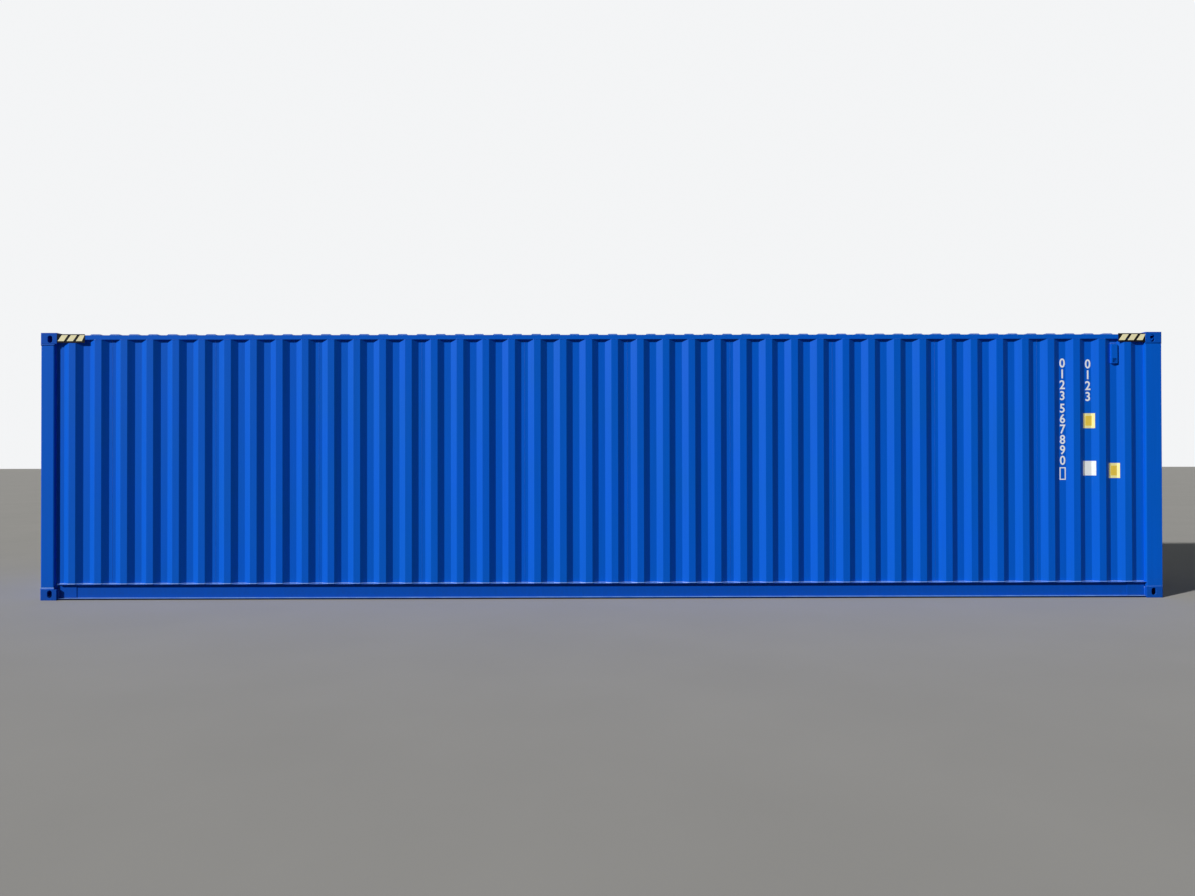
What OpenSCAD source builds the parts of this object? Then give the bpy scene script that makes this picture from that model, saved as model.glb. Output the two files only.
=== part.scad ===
// Forty-foot high-cube dry freight container with closed doors.
// Millimetres, Z up. X runs along the length, with the doors at +X and the closed front end at -X.
// Y runs across: -Y is the left side as seen from the doors. The floor plane Z = 0 is where it stands.

/* [Overall size] */
// Length over the corner castings
body_length = 12192; // [9125:1:13716]
// Width over the corner castings
body_width = 2438; // [2300:1:2600]
// Height over the corner castings
body_height = 2896; // [2438:1:3200]

/* [Corner castings] */
// Length of a casting along the container
casting_length = 178; // [170:1:200]
// Width of a casting across the container
casting_width = 162; // [150:1:180]
// Height of a casting
casting_height = 118; // [114:1:140]
// Thickness of the plate that holds the twistlock slot
casting_plate = 28; // [20:1:32]
// Thickness of the two outer walls of a casting
casting_wall = 16; // [10:1:22]
// Thickness of the inner walls and of the plate under the post
casting_back = 10; // [6:1:14]
// Radius of the upright outer edge of a casting
casting_edge = 14; // [6:1:24]
// Length of the twistlock slot
slot_length = 124; // [110:1:130]
// Width of the twistlock slot
slot_width = 63.5; // [55:0.5:70]
// Distance from the container's end to the middle of the slot
slot_from_end = 103.5; // [98:0.5:108]
// Distance from the container's side to the middle of the slot
slot_from_side = 89.5; // [84:0.5:94]
// Width of the side and end holes
hole_width = 51; // [40:1:60]
// Height of the side and end holes
hole_height = 79; // [70:1:79]
// Height of the middle of a hole over the casting's slotted face
hole_centre = 68; // [67:0.5:69]

/* [Corner posts] */
// Thickness of the pressed outer section of a post
post_sheet = 6; // [4:0.5:8]
// Set-back of the posts' side faces behind the castings
post_setback = 4; // [2:0.5:5]
// Width of a front post's face along the side
front_post_side = 150; // [120:1:155]
// Width of a front post's face across the front end
front_post_end = 110; // [80:1:140]
// Set-back of a front post's end face behind the castings
front_post_inset = 3; // [1:0.5:5]
// Radius inside the bends of a post's pressed section
post_bend = 6; // [4:0.5:9]
// Width of the flange that carries the edge of a wall
post_flange = 25; // [15:1:28]
// Distance from the door end to the side wall's edge of a door post
door_post_side = 183; // [180:1:220]
// Set-back of a door post's end face behind the castings
door_post_inset = 26; // [24:1:34]
// Thickness of the strip at a door post's outer edge, which shields the hinges
door_post_strip = 12; // [6:1:12]
// Set-back of that strip's end behind the castings
door_strip_inset = 5; // [4:0.5:10]
// Length of the rolled channel inside a door post
channel_length = 113; // [90:1:125]
// Width of the rolled channel inside a door post
channel_width = 40; // [30:1:60]
// Thickness of the rolled channel
channel_sheet = 12; // [8:1:14]

/* [Rails] */
// Set-back of rails and wall crests behind the castings
rail_setback = 5.4; // [4:0.1:8]
// Height of the top side rail
top_rail_height = 45; // [40:1:80]
// Width of the top side rail
top_rail_width = 60; // [50:1:80]
// Thickness of the top side rail and of the front header
tube_sheet = 3; // [2:0.5:5]
// Height of the channel that forms the bottom side rail
bottom_rail_height = 156.5; // [150:0.5:180]
// Depth of the bottom side rail's top flange
bottom_rail_top = 48; // [46:1:60]
// Depth of the bottom side rail's bottom flange
bottom_rail_foot = 44; // [20:1:44]
// Thickness of the bottom side rail
bottom_rail_sheet = 4.5; // [3:0.5:8]
// Radius inside the bends of the bottom side rail
bottom_rail_bend = 4.5; // [2:0.5:8]
// Height of the bottom side rail's underside
bottom_rail_lift = 14; // [11:0.5:17]
// Length of the reinforcing plates on the top rail's ends
top_plate_length = 300; // [200:1:500]
// Height of the reinforcing plates on the top rail's ends
top_plate_height = 94; // [60:1:100]
// Rise of the reinforcing plates over the top of the rail
top_plate_rise = 14; // [0:1:20]
// Thickness of the reinforcing plates on the top rail's ends
top_plate_sheet = 2; // [1:0.5:3]
// Length of the reinforcing plates in the bottom rail's ends
bottom_plate_length = 194; // [100:1:300]
// Thickness of the reinforcing plates in the bottom rail's ends
bottom_plate_sheet = 5; // [3:0.5:8]

/* [Side walls] */
// Thickness of the side wall sheet
side_sheet = 1.6; // [1.2:0.1:2.5]
// Depth of the side wall corrugation
side_depth = 36; // [25:1:37]
// Distance from one crest to the next
side_pitch = 280; // [240:1:320]
// Width of the flat top of a crest
side_crest = 72; // [50:1:80]
// Width of a slope, measured along the wall
side_slope = 68; // [40:1:74]
// Least width of the flat at each end of a wall
side_end = 60; // [40:1:80]
// Radius inside the bends of wall sheets
wall_bend = 6; // [2:0.5:10]

/* [Front wall] */
// Thickness of the front wall sheet
front_sheet = 2; // [1.4:0.1:3]
// Depth of the front wall corrugation
front_depth = 45.6; // [30:0.1:50]
// Distance from one crest to the next
front_pitch = 250; // [220:1:300]
// Width of the flat top of a crest
front_crest = 110; // [80:1:120]
// Width of a slope, measured across the wall
front_slope = 18; // [14:1:40]
// Height of the front header
front_header_height = 60; // [45:1:90]
// Depth of the front header along the container
front_header_depth = 60; // [56:1:80]
// Thickness of the front sill
front_sill_sheet = 4; // [3:0.5:6]
// Depth of the front sill's flanges
front_sill_depth = 56; // [52:1:70]

/* [Roof] */
// Clearance of the roof under the tops of the castings
roof_clearance = 6; // [5:0.5:12]
// Thickness of the roof sheet
roof_sheet = 2; // [1.6:0.1:3]
// Height of the stamped roof ribs
roof_depth = 20; // [10:1:25]
// Distance from one roof rib to the next
roof_pitch = 209; // [180:1:260]
// Width of the flat top of a roof rib
roof_crest = 91; // [60:1:100]
// Width of a roof rib's slope
roof_slope = 13.5; // [8:0.5:30]
// Width of the flat border along each side of the roof
roof_border = 45; // [30:1:80]
// Radius inside the bends of the roof sheet
roof_bend = 3; // [1:0.5:4]
// Thickness of the flat plates at the roof's ends
roof_plate_sheet = 3; // [2:0.5:5]
// Distance from the container's end to the inner edge of a roof plate
roof_plate_length = 340; // [280:1:500]

/* [Floor] */
// Height of the crossmembers' underside
crossmember_lift = 17.5; // [16:0.5:24]
// Height of a crossmember
crossmember_height = 122; // [100:1:126]
// Width of a crossmember's top flange
crossmember_top = 45; // [35:1:60]
// Width of a crossmember's bottom flange
crossmember_foot = 40; // [30:1:60]
// Thickness of a crossmember
crossmember_sheet = 4; // [3:0.5:6]
// Greatest distance from one crossmember to the next
crossmember_pitch = 450; // [300:1:600]
// Thickness of the floor boards
floor_thickness = 28; // [21:1:30]
// Length of a floor board
floor_board = 2400; // [1200:1:3000]
// Width of the joints between floor boards
floor_joint = 2; // [1:0.5:5]
// Gap between the floor and the walls
floor_gap = 6; // [3:1:12]

/* [Gooseneck tunnel] */
// Length of the tunnel from the front end
tunnel_length = 3500; // [3100:1:3800]
// Width of the tunnel
tunnel_width = 1029; // [900:1:1100]
// Clear height of the tunnel over the rails' underside
tunnel_height = 120; // [90:1:122]
// Thickness of the tunnel's top plate
tunnel_sheet = 3; // [2:0.5:6]
// Width of a tunnel bow's leg
bow_leg = 45; // [30:1:70]
// Thickness of a tunnel bow
bow_sheet = 4; // [3:0.5:6]

/* [Door frame] */
// Distance from the door end to the outer face of the doors, sill and header
door_plane = 46; // [44:1:56]
// Height of the door sill's top over the floor boards
sill_step = 0.5; // [0:0.5:10]
// Thickness of the door sill and header
door_beam_sheet = 4; // [3:0.5:6]
// Depth of the door sill and header along the container
door_beam_depth = 104; // [90:1:120]
// Height of the door header
door_header_height = 115; // [105:1:160]
// Reach of the rain gutter over the doors
gutter_reach = 34; // [24:1:42]
// Height of the rain gutter's upturned edge
gutter_lip = 14; // [8:1:20]
// Thickness of the rain gutter
gutter_sheet = 3; // [2:0.5:4]
// Distance from the header's underside to the rain gutter
gutter_rise = 50; // [46:1:60]

/* [Doors] */
// Gap between a door leaf and the frame
leaf_gap = 11; // [8:0.5:14]
// Gap between the two door leaves
leaf_split = 18; // [12:1:24]
// Width of a leaf's upright tubes
leaf_stile = 100; // [80:1:130]
// Height of a leaf's top and bottom channels
leaf_beam = 150; // [110:1:180]
// Thickness of a leaf
leaf_depth = 50; // [44:1:60]
// Thickness of a leaf's frame sections
leaf_sheet = 3.2; // [2:0.1:5]
// Thickness of a door panel
panel_sheet = 2; // [1.5:0.1:3]
// Depth of the pressed flutes in a door panel
panel_depth = 36; // [20:1:40]
// Number of pressed flutes in a door panel
panel_flutes = 5; // [4:1:7]
// Width of a flute's flat bottom
flute_flat = 72; // [50:1:90]
// Width of a flute's slope
flute_slope = 68; // [40:1:75]
// Thickness of the gasket's lips
gasket_lip = 3; // [2:0.5:5]
// Depth of the gasket along the container
gasket_depth = 44; // [30:1:46]

/* [Door gear] */
// Diameter of a lock rod
rod_diameter = 34; // [27:1:34]
// Wall thickness of a lock rod
rod_wall = 3.5; // [2:0.5:6]
// Gap between a lock rod and the face of the doors
rod_gap = 4; // [2:0.5:6]
// Distance between the two lock rods of a leaf
rod_spacing = 560; // [400:1:640]
// Height of a guide bracket
guide_height = 60; // [40:1:90]
// Width of a guide bracket
guide_width = 104; // [90:1:140]
// Thickness of a guide bracket's strap
guide_sheet = 3; // [2:0.5:3.5]
// Running clearance of a rod in its guide
guide_clearance = 0.3; // [0.2:0.1:1]
// Height of a lock rod's cam
cam_height = 34; // [26:1:44]
// Width of a lock rod's cam
cam_width = 62; // [50:1:80]
// Depth of a lock rod's cam
cam_depth = 22; // [16:1:24]
// Width of the nose at a cam's end
cam_nose = 14; // [8:1:20]
// Thickness of a keeper
keeper_sheet = 8; // [6:0.5:10]
// Length of a keeper's foot on the sill or header
keeper_foot = 46; // [30:1:70]
// Height of one handle of a leaf over the other
handle_step = 120; // [80:1:160]
// Length of a handle
handle_length = 430; // [320:1:520]
// Height of a handle's bar
handle_bar = 32; // [24:1:44]
// Thickness of a handle's bar
handle_sheet = 10; // [8:1:14]
// Distance from a handle's pivot to the bend before its grip
handle_bend = 120; // [80:1:200]
// Offset of a handle's grip from the doors
handle_offset = 7; // [4:1:10]
// Thickness of the catch that holds a handle
catch_sheet = 5; // [3:0.5:8]
// Width of a handle's catch
catch_width = 60; // [40:1:90]
// Distance from a handle's end to the middle of its catch
catch_place = 90; // [60:1:150]
// Number of hinges on a leaf
hinge_count = 4; // [3:1:6]
// Distance from the leaf's ends to the outer hinges
hinge_end = 260; // [180:1:400]
// Height of a hinge blade
hinge_height = 70; // [50:1:110]
// Height of a hinge lug
lug_height = 22; // [16:1:34]
// Thickness of a hinge blade
hinge_blade = 10; // [8:1:12]
// Reach of a hinge blade over the leaf
hinge_reach = 88; // [60:1:98]
// Diameter of a hinge pin
hinge_pin = 16; // [12:1:18]

/* [Ventilators] */
// Width of a ventilator, which sits in a recess of the wall
vent_width = 64; // [40:1:70]
// Height of a ventilator
vent_height = 222; // [150:1:280]
// Depth of a ventilator
vent_depth = 30; // [16:1:34]
// Thickness of a ventilator's cover
vent_sheet = 2; // [1.5:0.5:4]
// Rise of a ventilator's sloping top
vent_slope = 16; // [6:1:40]
// Distance from the top side rail to a ventilator
vent_drop = 46; // [20:1:120]
// Number of slots in a ventilator
vent_slots = 4; // [2:1:6]
// Height of a slot
vent_slot = 7; // [4:0.5:9]
// Distance from one slot to the next
vent_pitch = 12; // [10:0.5:16]
// Margin beside and under the slots
vent_margin = 10; // [6:1:14]

/* [Hidden] */
$fn = 48;
bend_steps = 2;
fit = 0.3;

half_length = body_length / 2;
half_width = body_width / 2;

// Heights
rail_top = bottom_rail_lift + bottom_rail_height;
floor_base = crossmember_lift + crossmember_height;
floor_top = floor_base + floor_thickness;
top_casting_base = body_height - casting_height;
roof_base = body_height - roof_clearance - roof_sheet - roof_depth;
top_rail_base = roof_base - top_rail_height;
sill_top = floor_top + sill_step;
door_header_base = roof_base - door_header_height;
front_header_base = roof_base - front_header_height;

// Depths behind the side face and behind the front end face
side_inner = rail_setback + side_depth + side_sheet;
front_inner = rail_setback + front_depth + front_sheet;
rail_web = rail_setback + bottom_rail_top;

// Corrugated walls lie between the posts
wall_edge = post_bend + fit;
side_wall_start = front_post_side + wall_edge;
side_wall_length = body_length - front_post_side - door_post_side - 2 * wall_edge;
side_recess = side_pitch - side_crest - 2 * side_slope;
side_crests = floor((side_wall_length - 2 * side_end + side_recess) / side_pitch);
side_first = (side_wall_length - side_crests * side_pitch + side_recess) / 2;
front_wall_length = body_width - 2 * front_post_end - 2 * wall_edge;
front_recess = front_pitch - front_crest - 2 * front_slope;
front_crests = floor((front_wall_length - 2 * post_flange + front_recess) / front_pitch);
front_first = (front_wall_length - front_crests * front_pitch + front_recess) / 2;

// Roof ribs lie between the flat end plates
roof_length = body_length - 2 * roof_plate_length - 2 * fit;
roof_recess = roof_pitch - roof_crest - 2 * roof_slope;
roof_crests = floor((roof_length - roof_recess) / roof_pitch);
roof_first = (roof_length - roof_crests * roof_pitch + roof_recess) / 2;

// Floor structure between the rails
tunnel_end = -half_length + tunnel_length;
tunnel_roof = bottom_rail_lift + tunnel_height;
crossmember_length = body_width - 2 * rail_web - 2 * fit;
floor_front = -half_length + front_inner + post_sheet + floor_gap;
floor_rear = half_length - door_plane - door_beam_depth - floor_gap;
floor_half = half_width - side_inner - post_sheet - floor_gap;
sill_rear = -half_length + rail_setback + front_sill_depth;
frame_front = -half_length + casting_length + fit;
frame_rear = half_length - casting_length - crossmember_top - fit;
tunnel_half = tunnel_width / 2;
bow_half = tunnel_half + bow_leg;

// Door opening and leaves
post_inner = post_setback + post_sheet + channel_width;
opening_half = half_width - post_inner;
hinge_knuckle = door_post_inset / 2 - 1;
strip_sheet = min(door_post_strip, post_inner / 2 - hinge_knuckle - 1);
opening_height = door_header_base - sill_top;
leaf_width = opening_half - leaf_gap - leaf_split / 2;
leaf_height = opening_height - 2 * leaf_gap;
leaf_base = sill_top + leaf_gap;
panel_width = leaf_width - 2 * leaf_stile;
panel_base = leaf_base + leaf_beam;
panel_height = leaf_height - 2 * leaf_beam;
panel_pitch = panel_height / panel_flutes;
handle_level = panel_base + 2 * panel_pitch;
leaf_middle = leaf_split / 2 + leaf_width / 2;
rod_depth = door_plane - rod_gap - rod_diameter / 2;
rod_foot = sill_top - cam_height;
rod_head = door_header_base + cam_height;

// Unit direction from one point to another
function heading(from, to) = (to - from) / norm(to - from);

// The same direction turned a quarter turn to the left
function leftward(v) = [-v[1], v[0]];

// Signed angle from one direction to another, positive to the left
function turn(u, v) = atan2(u[0] * v[1] - u[1] * v[0], u * v);

// A direction turned by an angle
function turned(v, angle) = [v[0] * cos(angle) - v[1] * sin(angle), v[0] * sin(angle) + v[1] * cos(angle)];

// One bend of a folded sheet, on the face that lies the given distance left of the path
function bend(before, at, after, side, sheet, radius) =
    let (
        u = heading(before, at),
        v = heading(at, after),
        angle = turn(u, v),
        pivot = angle > 0 ? sheet + radius : -radius,
        centre = at + pivot * (leftward(u) + leftward(v)) / (1 + u * v)
    )
    [for (step = [0 : bend_steps]) centre + (side - pivot) * turned(leftward(u), angle * step / bend_steps)];

// One face of a folded sheet, with its ends square to the path
function face(path, side, sheet, radius) =
    let (last = len(path) - 1)
    concat(
        [path[0] + side * leftward(heading(path[0], path[1]))],
        [for (i = [1 : last - 1]) each bend(path[i - 1], path[i], path[i + 1], side, sheet, radius)],
        [path[last] + side * leftward(heading(path[last - 1], path[last]))]
    );

// Points in the opposite order
function reversed(points) = [for (i = [len(points) - 1 : -1 : 0]) points[i]];

// Outline of a sheet folded along a path, with its thickness to the left of the path
function folded(path, sheet, radius) =
    concat(face(path, 0, sheet, radius), reversed(face(path, sheet, sheet, radius)));

// Path of a corrugated sheet: crests at the given height, recesses at 0, flat ends
function corrugation(length, first, count, pitch, crest, slope, height) = concat(
    [[0, 0]],
    [for (i = [0 : count - 1]) each [
        [first + i * pitch, 0],
        [first + i * pitch + slope, height],
        [first + i * pitch + slope + crest, height],
        [first + i * pitch + 2 * slope + crest, 0]
    ]],
    [[length, 0]]
);

// Points of a quarter circle or other arc
function arc(centre, radius, from, to, steps) =
    [for (i = [0 : steps]) centre + radius * [cos(from + (to - from) * i / steps), sin(from + (to - from) * i / steps)]];

// Draws its children mirrored across the plane X = 0 or Y = 0, or leaves them as they are
module flip_x(on) {
    if (on) {
        mirror([1, 0, 0]) children();
    } else {
        children();
    }
}

module flip_y(on) {
    if (on) {
        mirror([0, 1, 0]) children();
    } else {
        children();
    }
}

// Places children that are drawn inward from an outer corner. End: -1 front, 1 doors. Side: -1 left, 1 right.
module at_corner(end, side) {
    translate([end * half_length, side * half_width, 0])
        flip_x(end > 0) flip_y(side > 0) children();
}

// Runs a profile, drawn in Y and Z, along X
module run_x(from, to) {
    translate([from, 0, 0]) rotate([90, 0, 90]) linear_extrude(to - from) children();
}

// Runs a profile, drawn in X and Z, along Y
module run_y(from, to) {
    translate([0, to, 0]) rotate([90, 0, 0]) linear_extrude(to - from) children();
}

module paint() {
    color([0.03, 0.27, 0.68]) children();
}

module zinc() {
    color([0.66, 0.68, 0.7]) children();
}

// Cutter with round ends. It points along Z, and its long way is along X.
module slot_cutter(length, width, depth) {
    for (end = [-1, 1]) {
        translate([end * (length - width) / 2, 0, 0]) cylinder(h = depth, d = width);
    }
    translate([-(length - width) / 2, -width / 2, 0]) cube([length - width, width, depth]);
}

// Hollow corner casting, drawn with its slotted face down
module casting() {
    outline = concat(
        [[casting_length, 0], [casting_length, casting_width], [0, casting_width]],
        arc([casting_edge, casting_edge], casting_edge, 180, 270, 6)
    );
    paint() difference() {
        linear_extrude(casting_height) polygon(outline);
        translate([casting_wall, casting_wall, casting_plate]) cube([
            casting_length - casting_wall - casting_back,
            casting_width - casting_wall - casting_back,
            casting_height - casting_plate - casting_back
        ]);
        translate([slot_from_end, slot_from_side, -1])
            slot_cutter(slot_length, slot_width, casting_plate + 2);
        translate([slot_from_end, -1, hole_centre]) rotate([-90, 0, 0]) rotate([0, 0, 90])
            slot_cutter(hole_height, hole_width, casting_wall + 2);
        translate([-1, slot_from_side, hole_centre]) rotate([0, 90, 0])
            slot_cutter(hole_height, hole_width, casting_wall + 2);
    }
}

module bottom_casting(end, side) {
    at_corner(end, side) casting();
}

module top_casting(end, side) {
    at_corner(end, side) translate([0, 0, body_height]) mirror([0, 0, 1]) casting();
}

// Corner posts stand on the bottom castings and carry the top castings
module front_post(side) {
    path = [
        [front_inner, front_post_end + post_flange],
        [front_inner, front_post_end],
        [front_post_inset, front_post_end],
        [front_post_inset, post_setback],
        [front_post_side, post_setback],
        [front_post_side, side_inner],
        [front_post_side + post_flange, side_inner]
    ];
    paint() at_corner(-1, side) translate([0, 0, casting_height])
        linear_extrude(top_casting_base - casting_height) polygon(folded(path, post_sheet, post_bend));
}

// A door post is a pressed outer section closed by a rolled channel that faces the opening.
// A strip along its outer edge reaches out past the hinges.
module door_post(side) {
    outer = [
        [door_post_inset, post_inner],
        [door_post_inset, post_setback],
        [door_post_side, post_setback],
        [door_post_side, side_inner],
        [door_post_side + post_flange, side_inner]
    ];
    channel_start = door_post_inset + post_sheet;
    channel_end = channel_start + channel_length;
    channel_root = post_setback + post_sheet;
    channel = [
        [channel_end, channel_root],
        [channel_end, post_inner],
        [channel_start, post_inner],
        [channel_start, channel_root]
    ];
    strip_end = channel_start + post_bend;
    strip = [
        [door_strip_inset + 2, post_setback], [strip_end, post_setback],
        [strip_end, post_setback + strip_sheet], [door_strip_inset + 2, post_setback + strip_sheet],
        [door_strip_inset, post_setback + strip_sheet - 2], [door_strip_inset, post_setback + 2]
    ];
    paint() at_corner(1, side) difference() {
        translate([0, 0, casting_height]) linear_extrude(top_casting_base - casting_height) {
            polygon(folded(outer, post_sheet, post_bend));
            polygon(folded(channel, channel_sheet, 1));
            polygon(strip);
        }
        translate([casting_length - fit, 0, 0]) cube([casting_length, casting_width, rail_top]);
        translate([casting_length - fit, 0, top_rail_base]) cube([casting_length, casting_width, casting_height]);
    }
}

module top_rail(side) {
    top = roof_base - top_rail_base;
    paint() flip_y(side > 0) translate([0, -half_width + rail_setback, top_rail_base])
        run_x(-half_length + casting_length, half_length - casting_length) difference() {
            square([top_rail_width, top]);
            translate([tube_sheet, tube_sheet]) square([top_rail_width - 2 * tube_sheet, top - 2 * tube_sheet]);
        }
}

// The bottom side rail is a channel with its flanges outward, so the walls stand on its top flange.
// A plate between the flanges stiffens each end.
module bottom_rail(side) {
    half = half_length - casting_length;
    bends = bottom_rail_sheet + bottom_rail_bend;
    path = [
        [rail_web - bottom_rail_foot, bottom_rail_lift],
        [rail_web, bottom_rail_lift],
        [rail_web, rail_top],
        [rail_setback, rail_top]
    ];
    paint() flip_y(side > 0) translate([0, -half_width, 0]) {
        run_x(-half, half) polygon(folded(path, bottom_rail_sheet, bottom_rail_bend));
        for (end = [0, 1]) {
            mirror([end, 0, 0]) translate([
                half - bottom_plate_length,
                rail_web - bottom_rail_sheet - bottom_plate_sheet,
                bottom_rail_lift + bends
            ]) cube([bottom_plate_length, bottom_plate_sheet, bottom_rail_height - 2 * bends]);
        }
    }
}

// Plates that stiffen the ends of the top side rails beside the castings
module top_rail_plates() {
    base = roof_base + top_plate_rise - top_plate_height;
    paint() for (end = [-1, 1], side = [-1, 1]) {
        at_corner(end, side) translate([casting_length, rail_setback - top_plate_sheet, base])
            cube([top_plate_length, top_plate_sheet, top_plate_height]);
    }
}

module front_header() {
    half = half_width - casting_width;
    paint() translate([-half_length + rail_setback, 0, front_header_base]) run_y(-half, half) difference() {
        square([front_header_depth, front_header_height]);
        translate([tube_sheet, tube_sheet])
            square([front_header_depth - 2 * tube_sheet, front_header_height - 2 * tube_sheet]);
    }
}

// Open pressed section across the front, cut away over the gooseneck tunnel
module front_sill() {
    half = half_width - casting_width;
    path = [
        [front_sill_depth, rail_top],
        [0, rail_top],
        [0, bottom_rail_lift],
        [front_sill_depth, bottom_rail_lift]
    ];
    // Short angles close the wall's foot over the castings
    angle = [
        [front_inner - rail_setback - fit, rail_top],
        [0, rail_top],
        [0, casting_height]
    ];
    paint() translate([-half_length + rail_setback, 0, 0]) {
        difference() {
            run_y(-half, half) polygon(folded(path, front_sill_sheet, front_sill_sheet));
            translate([-1, -tunnel_half, 0]) cube([front_sill_depth + 2, tunnel_width, tunnel_roof]);
        }
        for (side = [0, 1]) {
            mirror([0, side, 0]) run_y(half - front_sill_sheet, half_width - front_post_end - wall_edge)
                polygon(folded(angle, front_sill_sheet, front_sill_sheet));
        }
    }
}

// Hollow beam of the door frame, drawn from its outer face inward
module door_beam(height) {
    difference() {
        square([door_beam_depth, height]);
        translate([door_beam_sheet, door_beam_sheet])
            square([door_beam_depth - 2 * door_beam_sheet, height - 2 * door_beam_sheet]);
    }
}

// Header with a rain gutter over the doors
module door_header() {
    half = half_width - casting_width;
    lip = top_casting_base - door_header_base - fit;
    gutter = [
        [door_beam_depth, gutter_rise],
        [door_beam_depth + gutter_reach, gutter_rise],
        [door_beam_depth + gutter_reach, gutter_rise + gutter_lip]
    ];
    paint() translate([half_length - door_plane - door_beam_depth, 0, door_header_base]) {
        run_y(-half, half) door_beam(door_header_height);
        run_y(-half, half) polygon(folded(gutter, gutter_sheet, gutter_sheet / 2));
        for (side = [0, 1]) {
            mirror([0, side, 0]) run_y(half - door_beam_sheet, opening_half) door_beam(lip);
        }
    }
}

module door_sill() {
    half = half_width - casting_width;
    lip = sill_top - casting_height;
    paint() translate([half_length - door_plane - door_beam_depth, 0, 0]) {
        translate([0, 0, bottom_rail_lift]) run_y(-half, half) door_beam(sill_top - bottom_rail_lift);
        for (side = [0, 1]) {
            mirror([0, side, 0]) translate([0, 0, casting_height])
                run_y(half - door_beam_sheet, opening_half) door_beam(lip);
        }
    }
}

// Cuts the space of the top castings, with a small clearance, out of its children
module clear_of_castings() {
    difference() {
        children();
        for (end = [-1, 1], side = [-1, 1]) {
            at_corner(end, side) translate([0, 0, top_casting_base - fit])
                cube([casting_length + fit, casting_width + fit, casting_height + fit]);
        }
    }
}

module side_wall(side) {
    path = corrugation(side_wall_length, side_first, side_crests, side_pitch, side_crest, side_slope, side_depth);
    outer = [for (p = path) [p[0], rail_setback + side_depth - p[1]]];
    paint() clear_of_castings() flip_y(side > 0) translate([-half_length + side_wall_start, -half_width, rail_top])
        linear_extrude(top_rail_base - rail_top) polygon(folded(outer, side_sheet, wall_bend));
}

module front_wall() {
    path = corrugation(front_wall_length, front_first, front_crests, front_pitch, front_crest, front_slope, front_depth);
    inner = reversed([for (p = path) [rail_setback + front_depth - p[1], p[0] - front_wall_length / 2]]);
    paint() clear_of_castings() translate([-half_length, 0, rail_top])
        linear_extrude(front_header_base - rail_top) polygon(folded(inner, front_sheet, wall_bend));
}

// Stamped roof: the ribs end in slanted faces inside a flat border
module roof_panel() {
    half = half_width - rail_setback;
    foot = half - roof_border;
    rise = roof_depth + roof_sheet;
    path = corrugation(roof_length, roof_first, roof_crests, roof_pitch, roof_crest, roof_slope, roof_depth);
    top = face(path, roof_sheet, roof_sheet, roof_bend);
    slant = roof_sheet * sqrt(2);
    paint() translate([-roof_length / 2, 0, roof_base]) {
        intersection() {
            run_y(-half, half) polygon(folded(path, roof_sheet, roof_bend));
            run_x(0, roof_length) polygon([[-foot, 0], [foot, 0], [foot - rise, rise], [rise - foot, rise]]);
        }
        intersection() {
            run_y(-half, half) polygon(concat([[0, 0]], top, [[roof_length, 0]]));
            for (side = [0, 1]) {
                mirror([0, side, 0]) run_x(0, roof_length)
                    polygon([[foot - slant, 0], [foot, 0], [foot - rise, rise], [foot - rise - slant, rise]]);
            }
        }
        for (side = [0, 1]) {
            mirror([0, side, 0]) translate([0, foot - roof_sheet, 0])
                cube([roof_length, half - foot + roof_sheet, roof_sheet]);
        }
    }
}

// Flat plates over the headers, as wide as the roof behind the castings
module roof_end_plates() {
    half = half_width - rail_setback;
    narrow = half_width - casting_width - fit;
    start = casting_length + fit;
    paint() for (end = [-1, 1]) {
        edge = end < 0 ? rail_setback : door_plane;
        translate([end * half_length, 0, roof_base]) flip_x(end > 0) {
            translate([edge, -narrow, 0]) cube([roof_plate_length - edge, 2 * narrow, roof_plate_sheet]);
            translate([start, -half, 0]) cube([roof_plate_length - start, 2 * half, roof_plate_sheet]);
        }
    }
}

module crossmember(from, to) {
    path = [
        [crossmember_foot, crossmember_lift],
        [0, crossmember_lift],
        [0, floor_base],
        [crossmember_top, floor_base]
    ];
    run_y(from, to) polygon(folded(reversed(path), crossmember_sheet, crossmember_sheet));
}

// Places of crossmembers between two points along the container
function evenly(from, to) =
    let (gaps = ceil((to - from) / crossmember_pitch))
    [for (i = [0 : gaps]) from + (to - from) * i / gaps];

module crossmembers() {
    half = crossmember_length / 2;
    paint() for (x = evenly(tunnel_end + crossmember_top, frame_rear)) {
        translate([x, 0, 0]) crossmember(-half, half);
    }
}

// Short crossmembers between the bottom side rails and the tunnel
module outriggers() {
    half = crossmember_length / 2;
    paint() for (x = evenly(frame_front, tunnel_end - crossmember_pitch), side = [0, 1]) {
        translate([x, 0, 0]) mirror([0, side, 0]) crossmember(bow_half, half);
    }
}

// Bows carry the floor over the tunnel, in line with the outriggers
module tunnel_bows() {
    top = floor_top - tunnel_sheet;
    outline = [
        [-bow_half, crossmember_lift], [-tunnel_half, crossmember_lift], [-tunnel_half, tunnel_roof],
        [tunnel_half, tunnel_roof], [tunnel_half, crossmember_lift], [bow_half, crossmember_lift],
        [bow_half, top], [-bow_half, top]
    ];
    paint() for (x = evenly(frame_front, tunnel_end - crossmember_pitch)) {
        run_x(x, x + bow_sheet) polygon(outline);
        translate([x, -bow_half, top - bow_sheet]) cube([crossmember_top, 2 * bow_half, bow_sheet]);
        translate([x, -tunnel_half, tunnel_roof]) cube([crossmember_top, tunnel_width, bow_sheet]);
    }
}

module tunnel_plate() {
    paint() translate([sill_rear, -bow_half, floor_top - tunnel_sheet])
        cube([tunnel_end - sill_rear, 2 * bow_half, tunnel_sheet]);
}

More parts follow.
